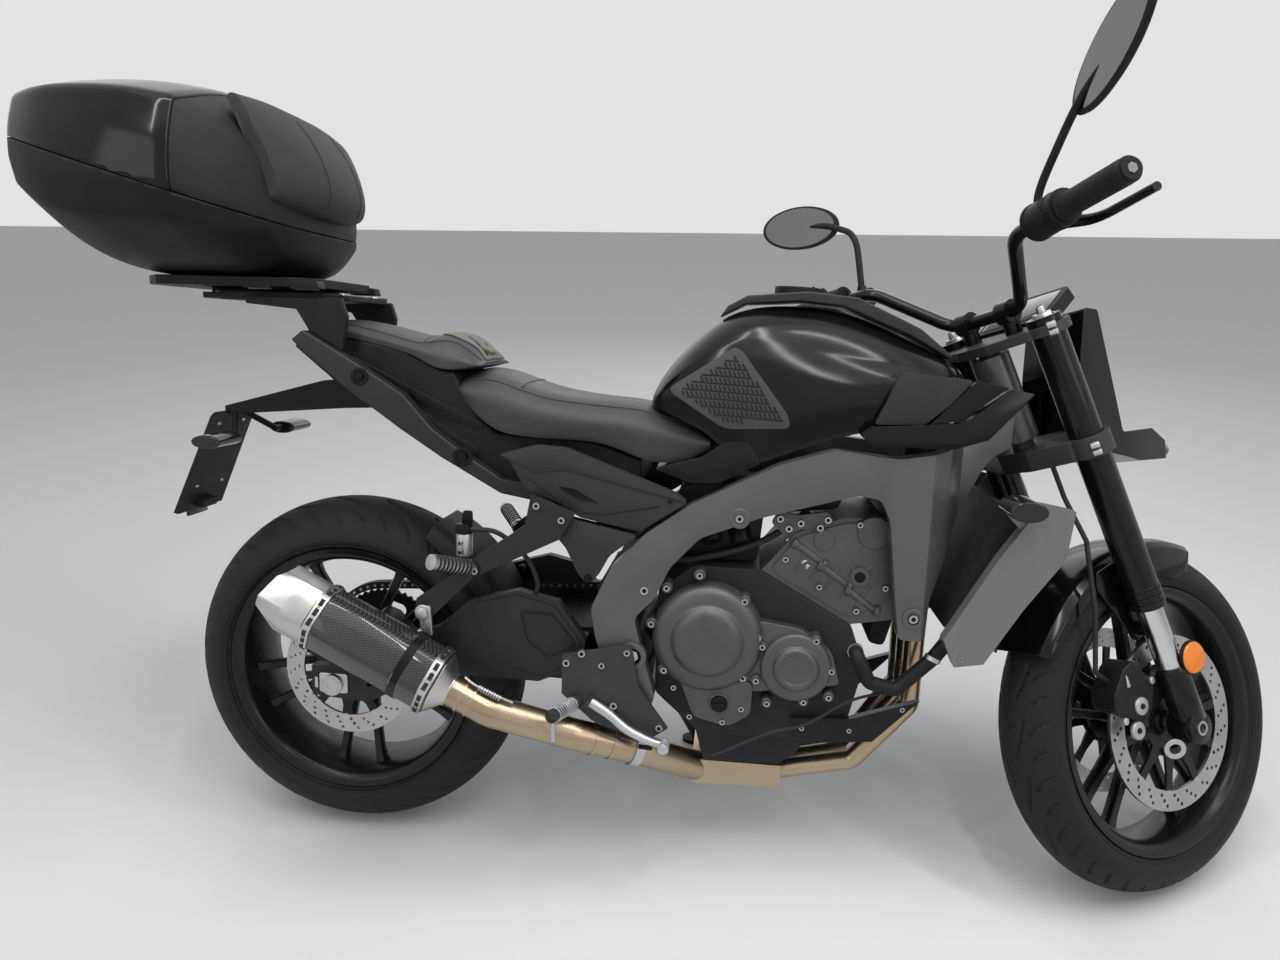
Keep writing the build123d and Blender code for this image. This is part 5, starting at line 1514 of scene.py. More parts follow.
def makeEngineCovers():
    bm = bmesh.new()
    lathe(bm, Vector((660, 0, 442)), engineLook["clutch"], 96)
    lathe(bm, Vector((809, 0, 402)), engineLook["pump"], 72)
    for x, z in engineLook["clutchBolts"]:
        x, z = 660 + (x - 660) * 0.955, 442 + (z - 442) * 0.955
        stud(bm, x, z, -111, -138, 11, 9.5, count=20)
    for x, z in engineLook["pumpBolts"]:
        stud(bm, x, z, -111, -138, 9.5, 8.5, count=20)
    castPlate(
        bm, rounded([(702, 362), (742, 352), (884, 374), (868, 430), (814, 468), (742, 478)], 10), -111,
        -133, 6, 3,
    )
    castPlate(bm, rounded([(614, 370), (641, 302), (700, 288), (738, 312), (740, 370)], 12), -111, -138, 6, 4)
    ring(bm, (684, -136, 329), (0, -1, 0), 19, 15, 5, 32)
    stud(bm, 684, 329, -136, -143, 14.4, 12.5, count=28, material=1)
    sections = [
        [(684 + s * 10, -143, 329 + t * 2.4) for s, t in square],
        [(684 + s * 9, -147.5, 329 + t * 1.8) for s, t in square],
    ]
    loft(bm, sections, material=1)
    rodBetween(bm, (700, -112, 500), (732, -140, 470), 13, 11, count=24)
    stud(bm, 745, 400, 111, 140, 77, 77, count=72)
    stud(bm, 745, 400, 140, 147.5, 72, 62, count=72)
    castPlate(bm, rounded([(576, 396), (564, 470), (600, 490), (698, 490), (698, 396)], 12), 116, 131.5, 5, 3)
    addPiece(
        "engineCovers", bm, "chassis", ["engineCast", "boltBlack"], stands=("engine_covers",), bevel=1.6,
        segments=2,
    )
    items = [
        ((660 + (x - 660) * 0.955, -138, 442 + (z - 442) * 0.955), (0, -1, 0), 6.0)
        for x, z in engineLook["clutchBolts"]
    ]
    items += [((x, -138, z), (0, -1, 0), 5.6) for x, z in engineLook["pumpBolts"]]
    items += [((x, -136, z), (0, -1, 0), 5.2) for x, z in engineLook["lowBolts"]]
    items += [
        ((745 + 68 * math.cos(a), 139, 400 + 68 * math.sin(a)), (0, 1, 0), 5.0)
        for a in [k * math.pi / 4 for k in range(8)]
    ]
    screws("coverScrews", "chassis", items)


def makeHeadDetails():
    bm = bmesh.new()
    castPlate(
        bm,
        rounded(
            [
                (760, 560), (802, 618), (880, 647), (952, 647), (980, 618), (988, 574), (958, 522),
                (895, 484),
            ],
            14,
        ),
        -100, -108, 8, 3,
    )
    for x, z, big in ((926, 632, 31), (846, 615, 20)):
        stud(bm, x, z, -102, -110.5, big, big * 0.86, count=36)
    ring(bm, (908, -106, 556), (0, -1, 0), 17, 9, 5.4, 28)
    stud(bm, 908, 556, -104, -110, 8, count=18, material=1)
    for turn in range(4):
        a = math.radians(45 + 90 * turn)
        way = Vector((math.cos(a), 0, math.sin(a)))
        rodBetween(
            bm, Vector((908, -107, 556)) + way * 15, Vector((908, -107, 556)) + way * 26, 3.0, 2.0, count=8,
        )
    for x, z in ((866, 556), (914, 516), (822, 592)):
        start = Vector((x - 22, -105, z + 14))
        rodBetween(bm, start, start + Vector((46, 0, -30)), 7.0, 6.0, count=16)
        rodBetween(bm, start + Vector((-6, 0, 4)), start + Vector((2, 0, -1)), 9.5, count=16)
        rodBetween(bm, start + Vector((44, 0, -29)), start + Vector((50, 0, -33)), 9.5, count=16)
    for k in range(5):
        start = Vector((800 + k * 26, -107.5, 560 - k * 14))
        rodBetween(bm, start, start + Vector((20, 0, 38)), 2.6, count=8)
    castPlate(
        bm,
        rounded(
            [
                (757, 640), (770, 662), (800, 655), (850, 664), (864, 640), (840, 622), (812, 632),
                (780, 620),
            ],
            7,
        ),
        -96, -104, 4, 2,
    )
    addPiece("headDetails", bm, "chassis", ["engineCast", "boltBlack"], bevel=1.0)
    items = [
        ((x, -109, z), (0, -1, 0), 5.4)
        for x, z in ((902, 645), (952, 640), (972, 600), (950, 540), (905, 498), (842, 536), (784, 580))
    ]
    items += [
        ((x, -104, z), (0, -1, 0), 6.5)
        for x, z in ((772, 648), (806, 642), (850, 650), (787, 632), (838, 636))
    ]
    screws("headScrews", "chassis", items)
    plug = bmesh.new()
    rodBetween(plug, (806, -88, 590), (818, -100, 572), 13, 11, count=24)
    rodBetween(plug, (788, -84, 610), (806, -92, 588), 9, 9, count=20)
    rodBetween(plug, (818, -100, 572), (824, -104, 566), 8, 7, count=6)
    addPiece("coolantSensor", plug, "chassis", "castSilver", bevel=1)


makeEngineCovers()
makeHeadDetails()
print("engine done")


# silencer: six-sided sleeve, riveted straps and a slash-cut end
silencer = {
    "foot": Vector((238.2, -202, 346.3)), "end": Vector((6, -202, 463)), "cone": 26.0, "flat": 60.0,
    "corner": 0.16,
}
silencerWay = (silencer["end"] - silencer["foot"]).normalized()
silencerUp = left.cross(silencerWay).normalized()


def hexRing(at, size):  # six sides with a short flat at each corner
    points = []
    for k in range(6):
        for turn in (-1, 1):
            a0, a1 = math.radians(60 * k), math.radians(60 * (k + turn))
            p = Vector((math.cos(a0), math.sin(a0))).lerp(
                Vector((math.cos(a1), math.sin(a1))), silencer["corner"],
            )
            points.append(silencer["foot"] + silencerWay * at + left * p.x * size + silencerUp * p.y * size)
    return points


def makeSilencer():
    length = (silencer["end"] - silencer["foot"]).length
    sleeve = bmesh.new()
    ends = (silencer["cone"] + 0.5, length - 0.5)
    faces = loft(sleeve, [hexRing(at, silencer["flat"]) for at in ends])[1]
    for face in faces:
        normal = face.normal
        face.material_index = 1 if normal.dot(silencerUp) < -0.6 else 0
    addPiece(
        "sleeveSkin", sleeve, "chassis", ["carbonSkin", "glossBlack"], stands=("silencer_sleeve",),
        bevel=2.4, segments=3,
    )
    caps = bmesh.new()
    loft(
        caps,
        [
            [
                silencer["foot"] + silencerWay * at + (
                    left * math.cos(math.radians(30 * k)) + silencerUp * math.sin(math.radians(30 * k))
                ) * 30
                for k in range(12)
            ]
            for at in (0.5, 4)
        ] + [hexRing(silencer["cone"] - 2, 56), hexRing(silencer["cone"], 58)],
    )
    for at in (silencer["cone"] + 3, silencer["cone"] + 52, length - 15.5):
        dark = 1 if at == silencer["cone"] + 52 else 0
        outer = loft(caps, [hexRing(at, 62.6), hexRing(at + 14.5, 62.6)], caps=False, material=dark)[0]
        inner = loft(caps, [hexRing(at, 60.2), hexRing(at + 14.5, 60.2)], caps=False)[0]
        for a, b in zip(outer, inner):
            bridge(caps, a, b)
    cut = [(-8, 536), (-38, 542), (-62, 527), (-76, 486), (-66, 455), (-14, 399), (6, 385)]
    base = hexRing(length + 0.6, 60.0)
    rims = []
    for point in base:
        far = point + silencerWay * 200
        best = 1.0
        for (x0, z0), (x1, z1) in zip(cut, cut[1:]):
            d, e = Vector((far.x - point.x, far.z - point.z)), Vector((x1 - x0, z1 - z0))
            det = d.x * e.y - d.y * e.x
            if abs(det) > 1e-6:
                w = Vector((x0 - point.x, z0 - point.z))
                t, u = (w.x * e.y - w.y * e.x) / det, (w.x * d.y - w.y * d.x) / det
                if 0 <= u <= 1 and 0 < t < best:
                    best = t
        rims.append(point.lerp(far, min(best, 0.52)))
    middle = sum(rims, Vector()) / len(rims)
    mid = [a.lerp(b, 0.5) for a, b in zip(base, rims)]
    lip = [middle + (p - middle) * 0.86 - silencerWay * 1.5 for p in rims]
    deep = [p - silencerWay * 34 for p in lip]
    loft(caps, [base, mid, rims, lip, deep])
    addPiece(
        "silencerEnds", caps, "chassis", ["capTitanium", "boltBlack"], stands=("silencer_caps",), bevel=1.6,
        segments=2,
    )
    marks = bmesh.new()
    for at in (silencer["cone"] + 3, length - 15.5):
        for k in range(6):
            a = math.radians(60 * k + 30)
            out = left * math.cos(a) + silencerUp * math.sin(a)
            side = silencerWay.cross(out)
            for shift in (-18, 0, 18):
                centre = silencer["foot"] + silencerWay * (at + 7.2) + out * 54.3 + side * shift
                loft(
                    marks,
                    [
                        [centre + silencerWay * a2 * 3.6 + side * b2 * 6.4 + out * up for a2, b2 in square]
                        for up in (-1, 0.5)
                    ],
                )
    addPiece("strapInserts", marks, "chassis", "rubberBlack")
    rivets = []
    for at in (silencer["cone"] + 10, length - 8):
        for k in range(6):
            a = math.radians(60 * k + 30)
            out = left * math.cos(a) + silencerUp * math.sin(a)
            side = silencerWay.cross(out)
            for shift in (-9, 9):
                rivets.append((silencer["foot"] + silencerWay * at + out * 54 + side * shift, out, 2.2))
    screws("strapRivets", "chassis", rivets, head="boltSteel", socket="boltSteel")
    hanger = bmesh.new()
    castPlate(hanger, rounded([(176, 438), (196, 428), (193, 482), (170, 482)], 5), -170.3, -177.5, 2, 1)
    stud(hanger, 180, 470, -177, -186, 11, count=6)
    ring(hanger, (180, -177, 470), (0, -1, 0), 14, 5, 3)
    addPiece("silencerHanger", hanger, "chassis", "castSilver", bevel=1)


makeSilencer()
print("silencer done")


# mudguards: an arched shell with side skirts that grow deeper towards the front
guardLook = {
    "rear": {"radius": 327.0, "half": 92.0, "turns": (22, 60), "skirt": [(22, 22), (34, 34), (60, 26)]},
    "front": {
        "radius": 312.0, "half": 68.0, "turns": (75, 156),
        "skirt": [(75, 46), (82, 66), (100, 58), (122, 34), (156, 22)],
    },
}


def archedGuard(bm, kind, hub):
    look = guardLook[kind]
    radius, half, (first, last) = look["radius"], look["half"], look["turns"]
    sections = []
    for k in range(29):
        degrees = first + (last - first) * k / 28
        deep, a = along(look["skirt"], degrees), math.radians(degrees)
        taper = 1 - 0.10 * max(0.0, abs(k / 14 - 1) - 0.6) / 0.4
        outside = [
            (radius - deep, half), (radius - 12, half - 3), (radius - 2, half - 13),
            (radius + 3, half - 32),
        ]
        inside = [
            (radius, half - 34), (radius - 5, half - 16), (radius - 13, half - 6),
            (radius - deep, half - 3),
        ]
        ring = [(r, y * taper) for r, y in outside] + [
            (r, -y * taper) for r, y in reversed(outside)
        ] + [(r, -y * taper) for r, y in reversed(inside)] + [(r, y * taper) for r, y in inside]
        sections.append([(hub.x + r * math.cos(a), y, hub.z + r * math.sin(a)) for r, y in ring])
    loft(bm, sections)


def makeGuards():
    bm = bmesh.new()
    archedGuard(bm, "rear", rearHub)
    for side in (-1, 1):
        stud(bm, 284, 479, side * 88, side * 106, 9, count=20)
    addPiece("rearGuard", bm, "chassis", "satinPlastic", angle=50, stands=("rear_hugger",), bevel=0.6)
    bm = bmesh.new()
    archedGuard(bm, "front", frontHub)
    for side in (-1, 1):
        stay = [
            onFork(ahead, 0, height)
            for ahead, height in ((10, 481), (56, 481), (70, 600), (60, 622), (-20, 622), (-30, 600))
        ]
        castPlate(bm, rounded([(p.x, p.z) for p in stay], 8, 3), side * 65.6, side * 69, 5, 1.4)
        foot = onFork(33, 0, 495)
        stud(bm, foot.x, foot.z, side * 66, side * 78, 12, count=24)
        stud(bm, foot.x - 22, foot.z + 34, side * 68, side * 71.5, 6, count=6)
    addPiece("frontGuard", bm, "steering", "glossBlack", angle=50, stands=("front_fender",), bevel=0.6)
    bm = bmesh.new()
    rodBetween(bm, (242, -143.7, 566), (242, -143.7, 604), 14, count=28, material=1)
    rodBetween(bm, (242, -143.7, 604), (242, -143.7, 620), 15.5, 14, count=28)
    castPlate(bm, rounded([(230, 600), (254, 600), (252, 640), (236, 640)], 4), -128, -132, 2, 1)
    addPiece("brakeReservoir", bm, "chassis", ["boltBlack", "silverPaint"], bevel=1)
    bm = bmesh.new()
    for outline, half in (
        ([(586, 566), (600, 690), (640, 700), (880, 700), (868, 664), (745, 650), (738, 566)], 80),
        ([(925, 640), (985, 690), (1004, 590), (962, 424), (934, 430), (946, 560)], 66),
    ):
        loft(bm, [[(x, y, z) for x, z in rounded(outline, 10, 3)] for y in (-half, half)])
    for x in (650, 700):
        rodBetween(bm, (x, -72, 640), (x + 10, -96, 600), 20, 17, count=24, material=1)
    addPiece("intakeBox", bm, "chassis", ["coreBlack", "boltBlack"], bevel=3)


makeGuards()


# bodywork trim
def drawnIn(bm, start, outer, inner, low, high):  # narrow a plate towards the head, between two plan lines
    for vert in bm.verts:
        if vert.co.x >= start:
            share = (abs(vert.co.y) - low) / (high - low)
            a, b = along(inner, vert.co.x), along(outer, vert.co.x)
            vert.co.y = math.copysign(a + (b - a) * share, vert.co.y)


wingLook = {
    "blade": [
        (886, 798), (905, 783), (1030, 782), (1082, 798), (1148, 871), (1112, 877), (1040, 822), (900, 812),
    ],
    "panel": [(944, 898), (1052, 889), (1020, 850), (984, 818), (908, 815)],
    "nose": [(1056, 888), (1108, 880), (1036, 826), (990, 817)],
    "outer": [(868, 150), (930, 159), (1040, 159), (1155, 142)],
    "inner": [(868, 134), (1000, 130), (1040, 136), (1160, 136.2)],
}


def makeBodywork():
    bm = bmesh.new()
    for side in (-1, 1):
        castPlate(bm, rounded(wingLook["blade"], 4, 2), side * 130, side * 160, 4, 5)
        castPlate(bm, rounded(wingLook["nose"], 3, 2), side * 132, side * 154, 3, 3)
        castPlate(bm, rounded(wingLook["panel"], 5, 2), side * 128, side * 152, 4, 3, material=1)
    for x in (930, 1000, 1040):
        bmesh.ops.bisect_plane(
            bm, geom=bm.verts[:] + bm.edges[:] + bm.faces[:], plane_co=(x, 0, 0), plane_no=(1, 0, 0),
        )
    drawnIn(bm, 868, wingLook["outer"], wingLook["inner"], 130, 160)
    addPiece("tankWinglets", bm, "chassis", ["tankGloss", "greyPlastic"], bevel=2.0, segments=3)

    bm = bmesh.new()
    for side in (-1, 1):
        castPlate(
            bm,
            rounded(
                [
                    (302, 741), (363, 759), (414, 757), (602, 688), (619, 676), (541, 624), (441, 642),
                    (406, 665), (347, 687), (321, 733),
                ],
                7, 3,
            ),
            side * 130.5, side * 151, 9, 6,
        )
        castPlate(
            bm,
            rounded(
                [(308, 741), (363, 758), (414, 756), (600, 688), (614, 677), (420, 722), (366, 716)], 3, 2,
            ),
            side * 144, side * 153.6, 3.5, 2.5, material=1,
        )
        castPlate(
            bm,
            rounded(
                [
                    (400, 645), (538, 617), (493, 581), (474, 545), (453, 532), (439, 549), (419, 590),
                    (374, 640),
                ],
                7, 3,
            ),
            side * 130.5, side * 155, 9, 6,
        )
        castPlate(
            bm, rounded([(404, 692), (430, 690), (472, 667), (436, 674)], 2, 2), side * 148, side * 151.6,
            1.4, -1, material=2,
        )
        for line in ([(352, 706), (432, 652), (478, 648), (574, 668)], [(392, 738), (468, 712)]):
            tubeAlong(
                bm, [(x, side * 151.2, z) for x, z in line], 1.1, count=6, material=2, steps=3, bend=0.2,
            )
        ring(bm, (57, side * 129, 861), (0, side, 0), 15, 9, 3.2, 28, material=2)
        ring(bm, (235, side * 129, 732), (0, side, 0), 17, 10, 3.2, 28, material=2)
        for outline in (
            [(-6, 905), (40, 890), (170, 830), (262, 790), (262, 776), (205, 790), (70, 872)],
            [(120, 826), (205, 775), (256, 742), (250, 728), (190, 756), (112, 812)],
        ):
            castPlate(bm, rounded(outline, 4, 2), side * 96, side * 104, 3, 2, material=3)
    addPiece(
        "sidePanels", bm, "chassis", ["sideCover", "greyPlastic", "boltBlack", "satinPlastic"],
        stands=("side_covers",), bevel=1.2, segments=2,
    )
    screws(
        "bodyScrews", "chassis",
        sideways(((57, 128, 861, 8), (235, 128, 732, 9), (457, 154.5, 540, 7), (590, 150.5, 676, 3.5))),
        head="boltBlack",
    )

    bm = bmesh.new()  # the pillion hump's pale insert with its dark slot
    outline = rounded([(-30, -9), (-20, 17), (20, 17), (30, -9), (14, -20), (-14, -20)], 7, 4)
    centre, up, out = Vector((236, 0, 915)), Vector((-0.74, 0, 0.67)), Vector((0.67, 0, 0.74))
    loft(
        bm,
        [
            [centre + left * y * size + up * z * size + out * lift for y, z in outline]
            for size, lift in ((1.0, -8), (1.0, 2), (0.9, 4.5))
        ],
    )
    loft(
        bm,
        [
            [
                centre + left * y * 1.25 + up * z * 4 + out * lift
                for y, z in ((-4, -1), (4, -1), (4, 1), (-4, 1))
            ]
            for lift in (3, 5.2)
        ],
        material=1,
    )
    addPiece("humpInsert", bm, "chassis", ["seatInsert", "boltBlack"], bevel=1.5, segments=3)
    bm = bmesh.new()
    ring(bm, (790, 0, 1010), (0.05, 0, 1), 44, 33, 20.5, 48)
    rodBetween(bm, (790, 0, 1010), (790.9, 0, 1027), 32, 30, count=40, material=1)
    loft(bm, [[(790 + a * 16, b * 5, 1027 + up) for a, b in square] for up in (-2, 3)], material=1)
    addPiece("fillerCap", bm, "chassis", ["satinPlastic", "boltBlack"], bevel=1.5, segments=3)
    screws(
        "fillerScrews", "chassis",
        [
            ((790 + 38.5 * math.cos(a), 38.5 * math.sin(a), 1029), (0.05, 0, 1), 2.6)
            for a in [k * math.pi / 3 for k in range(6)]
        ],
        head="boltBlack",
    )


makeBodywork()
print("bodywork done")


# front end: fork feet, rings, adjusters, reflectors, lamp and dials
forkAt = {"ahead": 33, "half": 98}


def forkRod(bm, ahead, side, low, high, *sizes, **look):  # a rod along the steering axis
    rodBetween(bm, onFork(ahead, side, low), onFork(ahead, side, high), *sizes, **look)


def makeFrontEnd():
    ahead, half = forkAt["ahead"], forkAt["half"]
    bm = bmesh.new()
    for side in (-1, 1):
        forkRod(bm, ahead, side * half, 420, 1040, 20.8, count=40)
        forkRod(bm, ahead, side * half, 330, 424, 26, 25, count=36, material=1)
        forkRod(bm, ahead, side * half, 424, 430, 25, 22, count=36, material=1)
        rodBetween(
            bm, frontHub + Vector((0, side * 76.4, 0)), frontHub + Vector((0, side * 119.6, 0)), 27,
            count=36, material=1,
        )
        a = math.radians(152)
        out, tangent = Vector((math.cos(a), 0, math.sin(a))), Vector((math.sin(a), 0, -math.cos(a)))
        lug = [
            frontHub + out * o + tangent * r
            for o, r in ((74, -38), (96.4, -38), (96.4, 44), (94, 69), (58, 52))
        ]
        castPlate(bm, rounded([(p.x, p.z) for p in lug], 6, 3), side * 74.4, side * 85.6, 3, 2, material=1)
    addPiece("forkSliders", bm, "steering", ["forkTube", "forkBlack"], stands=("fork_inners",), bevel=1.0)
    bm = bmesh.new()
    for side in (-1, 1):
        for k in range(7):
            ring(bm, onFork(ahead, side * half, 541 + k * 5.5), steerUp, 28.6 if k % 2 else 27.4, 22, 4.4, 44)
        ring(bm, onFork(ahead, side * half, 1052), steerUp, 26.4, 17, 2.5, 40)
        forkRod(bm, ahead, side * half, 1040, 1060, 16.6, 15.6, count=6, material=1)
        forkRod(bm, ahead, side * half, 1060, 1071, 7.5, 6.5, count=20, material=1)
        loft(
            bm,
            [[onFork(ahead + a * 6.4, side * half + b * 1.3, h) for a, b in square] for h in (1070, 1072)],
            material=2,
        )
        for h in (1036, 832):
            for lift in (-6, 6):
                rodBetween(
                    bm, onFork(-2, side * 128, h + lift), onFork(8, side * 137, h + lift), 5.4, count=6,
                    material=1,
                )
        centre = onFork(60, side * 122, 432)
        rodBetween(
            bm, centre - Vector((0, side * 3, 0)), centre + Vector((0, side * 2, 0)), 29, 28, count=40,
            material=2,
        )
        rodBetween(
            bm, centre + Vector((0, side * 2, 0)), centre + Vector((0, side * 5, 0)), 26.5, 24, count=40,
            material=3,
        )
        rodBetween(bm, onFork(40, side * 112, 432), centre, 6, count=12, material=2)
        for x, z in ((1328, 339), (1318, 300)):
            stud(bm, x, z, side * 86, side * 91.5, 15.5, 14.5, count=32, material=1)
            stud(bm, x, z, side * 91, side * 93, 6, 5, count=6, material=2)
        rodBetween(bm, (1303, side * 84, 372), (1296, side * 84, 392), 6, 4, count=14, material=1)
        for x, z in ((1286, 318), (1352, 380)):
            stud(bm, x, z, side * 88, side * 94, 6.4, count=6, material=1)
    addPiece("forkFittings", bm, "steering", ["forkBlack", "castSilver", "boltBlack", "amber"], bevel=0.5)
    bm = bmesh.new()
    for dy in (-26, 26):
        rodBetween(bm, (1478, dy * 0.8, 782), (1506, dy * 0.72, 776), 15, 13, count=32)
    loft(
        bm,
        [[(1442 + x, y, 800 + z) for y, z in ((-38, -2), (38, -2), (38, 2), (-38, 2))] for x in (-2, 26)],
        material=1,
    )
    addPiece("lampLenses", bm, "steering", ["mirrorGlass", "paleStrip"], bevel=2, segments=3)
    bm = bmesh.new()
    plane = onFork(110, 0, 1042)
    out, up = Vector((-0.697, 0, 0.717)), Vector((-0.717, 0, -0.697))
    loft(
        bm,
        [
            [
                plane + left * y + up * z + out * lift
                for y, z in rounded([(-66, -36), (66, -36), (66, 36), (-66, 36)], 8, 3)
            ]
            for lift in (20, 23)
        ],
    )
    addPiece("dialGlass", bm, "steering", "lampSmoke", bevel=0.8)


makeFrontEnd()


# hand controls: ribbed grips, bar ends, switch boxes and mirror glasses
barLook = {"inner": Vector((1000, 165, 1064)), "outer": Vector((934, 405, 1060)), "ribs": 26}


def onBar(side, share, lift=(0, 0, 0)):
    spot = barLook["inner"].lerp(barLook["outer"], share) + Vector(lift)
    return Vector((spot.x, side * spot.y, spot.z))


def barRod(bm, side, near, far, *sizes, **look):  # a sleeve on the bar between two shares of its length
    rodBetween(bm, onBar(side, near), onBar(side, far), *sizes, **look)


def makeHandControls():
    bm = bmesh.new()
    for side in (-1, 1):
        way = (onBar(side, 1) - onBar(side, 0)).normalized()
        for k in range(barLook["ribs"]):
            ring(bm, onBar(side, 0.535 + 0.43 * k / barLook["ribs"]), way, 17.5, 15.5, 2.3, 24)
        barRod(bm, side, 0.5, 0.52, 20.5, count=32)
        barRod(bm, side, 0.985, 1.012, 16, 14, count=28, material=1)
        barRod(bm, side, 1.012, 1.016, 8, 7, count=6, material=2)
        centre = onBar(side, 0.37)
        for dz, dx, size in ((8, -20, 9), (-9, -22, 7), (18, -6, 8)):
            rodBetween(
                bm, centre + Vector((dx, side * 6, dz)), centre + Vector((dx * 1.35, side * 6, dz * 1.35)),
                size, size * 0.8, count=20, material=1,
            )
        ring(bm, onBar(side, 0.235), way, 27.5, 20, 4, 32, material=1)
        ring(bm, onBar(side, 0.42), way, 27.0, 20, 3, 32, material=1)
        rodBetween(
            bm, onBar(side, 0.13, (33, 0, 6)), onBar(side, 0.22, (36, 0, 6)), 17, 15, count=28, material=1,
        )
        tubeAlong(
            bm,
            [onBar(side, 0.3, (40, 0, 0)), onBar(side, 0.5, (62, 0, -8)), onBar(side, 0.97, (54, 0, -10))],
            6.6, material=2, radii=(8.5, 6.2),
        )
    addPiece("gripRibs", bm, "steering", ["rubberBlack", "satinPlastic", "forkBlack"], bevel=0)
    bm = bmesh.new()
    sets = [  # side, place on the bar, height, knee, end of the stem, glass, long way of the glass
        (1, 0.2, 16.3, (-7, 5, 114), (-6, 96, 162), (-29, 163, 176), (-0.3, 0.93, 0.22)),
        (-1, 0.16, 18.1, (-8, 8, 32), (-15, -76, 136), (-37, -144, 173), (-0.18, -0.87, 0.46)),
    ]
    for side, share, height, knee, reach, glass, longWay in sets:
        foot = onBar(side, share, (30, 0, height))
        out = Vector((1, side * 0.33, 0)).normalized()
        wide = Vector(longWay)
        wide = (wide - out * wide.dot(out)).normalized()
        up = out.cross(wide)
        centre = foot + Vector(glass)
        oval = [(98 * math.cos(a), 44 * math.sin(a)) for a in [2 * math.pi * k / 56 for k in range(56)]]
        loft(
            bm,
            [
                [centre + (wide * x + up * y) * size + out * lift for x, y in oval]
                for size, lift in ((0.93, 0.2), (0.99, 1.5), (1.0, 5), (0.97, 10), (0.86, 14), (0.6, 15.9))
            ],
        )
        loft(
            bm,
            [
                [centre + (wide * x + up * y) * size + out * lift for x, y in oval]
                for size, lift in ((0.90, 2.5), (0.90, 0.0))
            ],
            material=1,
        )
        for k in range(-3, 4):  # raised chevrons on the back of the shell
            for lean in (-1, 1):
                start = centre + wide * (k * 24 - 6) + up * lean * 2 + out * 14.6
                end = centre + wide * (k * 24 + 6) + up * lean * (22 - abs(k) * 3.5) + out * 13.4
                rodBetween(bm, start, end, 1.3, count=6)
        rodBetween(bm, foot - Vector((0, 0, 2)), foot + Vector((0, 0, 12)), 11, 9, count=6, material=2)
        tubeAlong(
            bm, [foot, foot + Vector(knee), foot + Vector(reach), centre + out * 9], 6, count=18, bend=0.35,
        )
    addPiece(
        "mirrorShells", bm, "steering", ["satinPlastic", "mirrorGlass", "boltBlack"], stands=("mirrors",),
    )


makeHandControls()
print("front end done")


# chain pins, axle blocks, levers, pegs, exhaust bands and other fittings
driveLook = {"pitch": 15.875, "rear": 45, "front": 16, "shaft": Vector((615, 0, 425))}


def makeDrive():
    big, small = [driveLook["pitch"] / (2 * math.sin(math.pi / driveLook[k])) for k in ("rear", "front")]
    shaft = driveLook["shaft"]
    span = math.hypot(shaft.x, shaft.z - 315)
    slope, wrap = math.asin((shaft.z - 315) / span), math.asin((big - small) / span)
    run, high, low = span * math.cos(wrap), slope + math.pi / 2 - wrap, slope - math.pi / 2 + wrap
    rearArc, frontArc = big * (math.pi + 2 * wrap), small * (math.pi - 2 * wrap)
    total = 2 * run + rearArc + frontArc
    links = 2 * round(total / driveLook["pitch"] / 2)
    bm = bmesh.new()
    for k in range(links):
        d = total * k / links
        if d < run:
            base, reach, turn = shaft.lerp(rearHub, d / run), small + (big - small) * d / run, high
        elif d < run + rearArc:
            base, reach, turn = rearHub, big, high + (d - run) / big
        elif d < 2 * run + rearArc:
            share = (d - run - rearArc) / run
            base, reach, turn = rearHub.lerp(shaft, share), big + (small - big) * share, low
        else:
            base, reach, turn = shaft, small, low + (d - 2 * run - rearArc) / small
        spot = base + Vector((math.cos(turn), 0, math.sin(turn))) * reach
        stud(bm, spot.x, spot.z, 94, 114.4, 3.0, count=8)
        if k % 2:
            ring(bm, (spot.x, 112.9, spot.z), (0, 1, 0), 5.6, 3.2, 0.9, 10)
    addPiece("chainPins", bm, "chassis", "boltSteel")


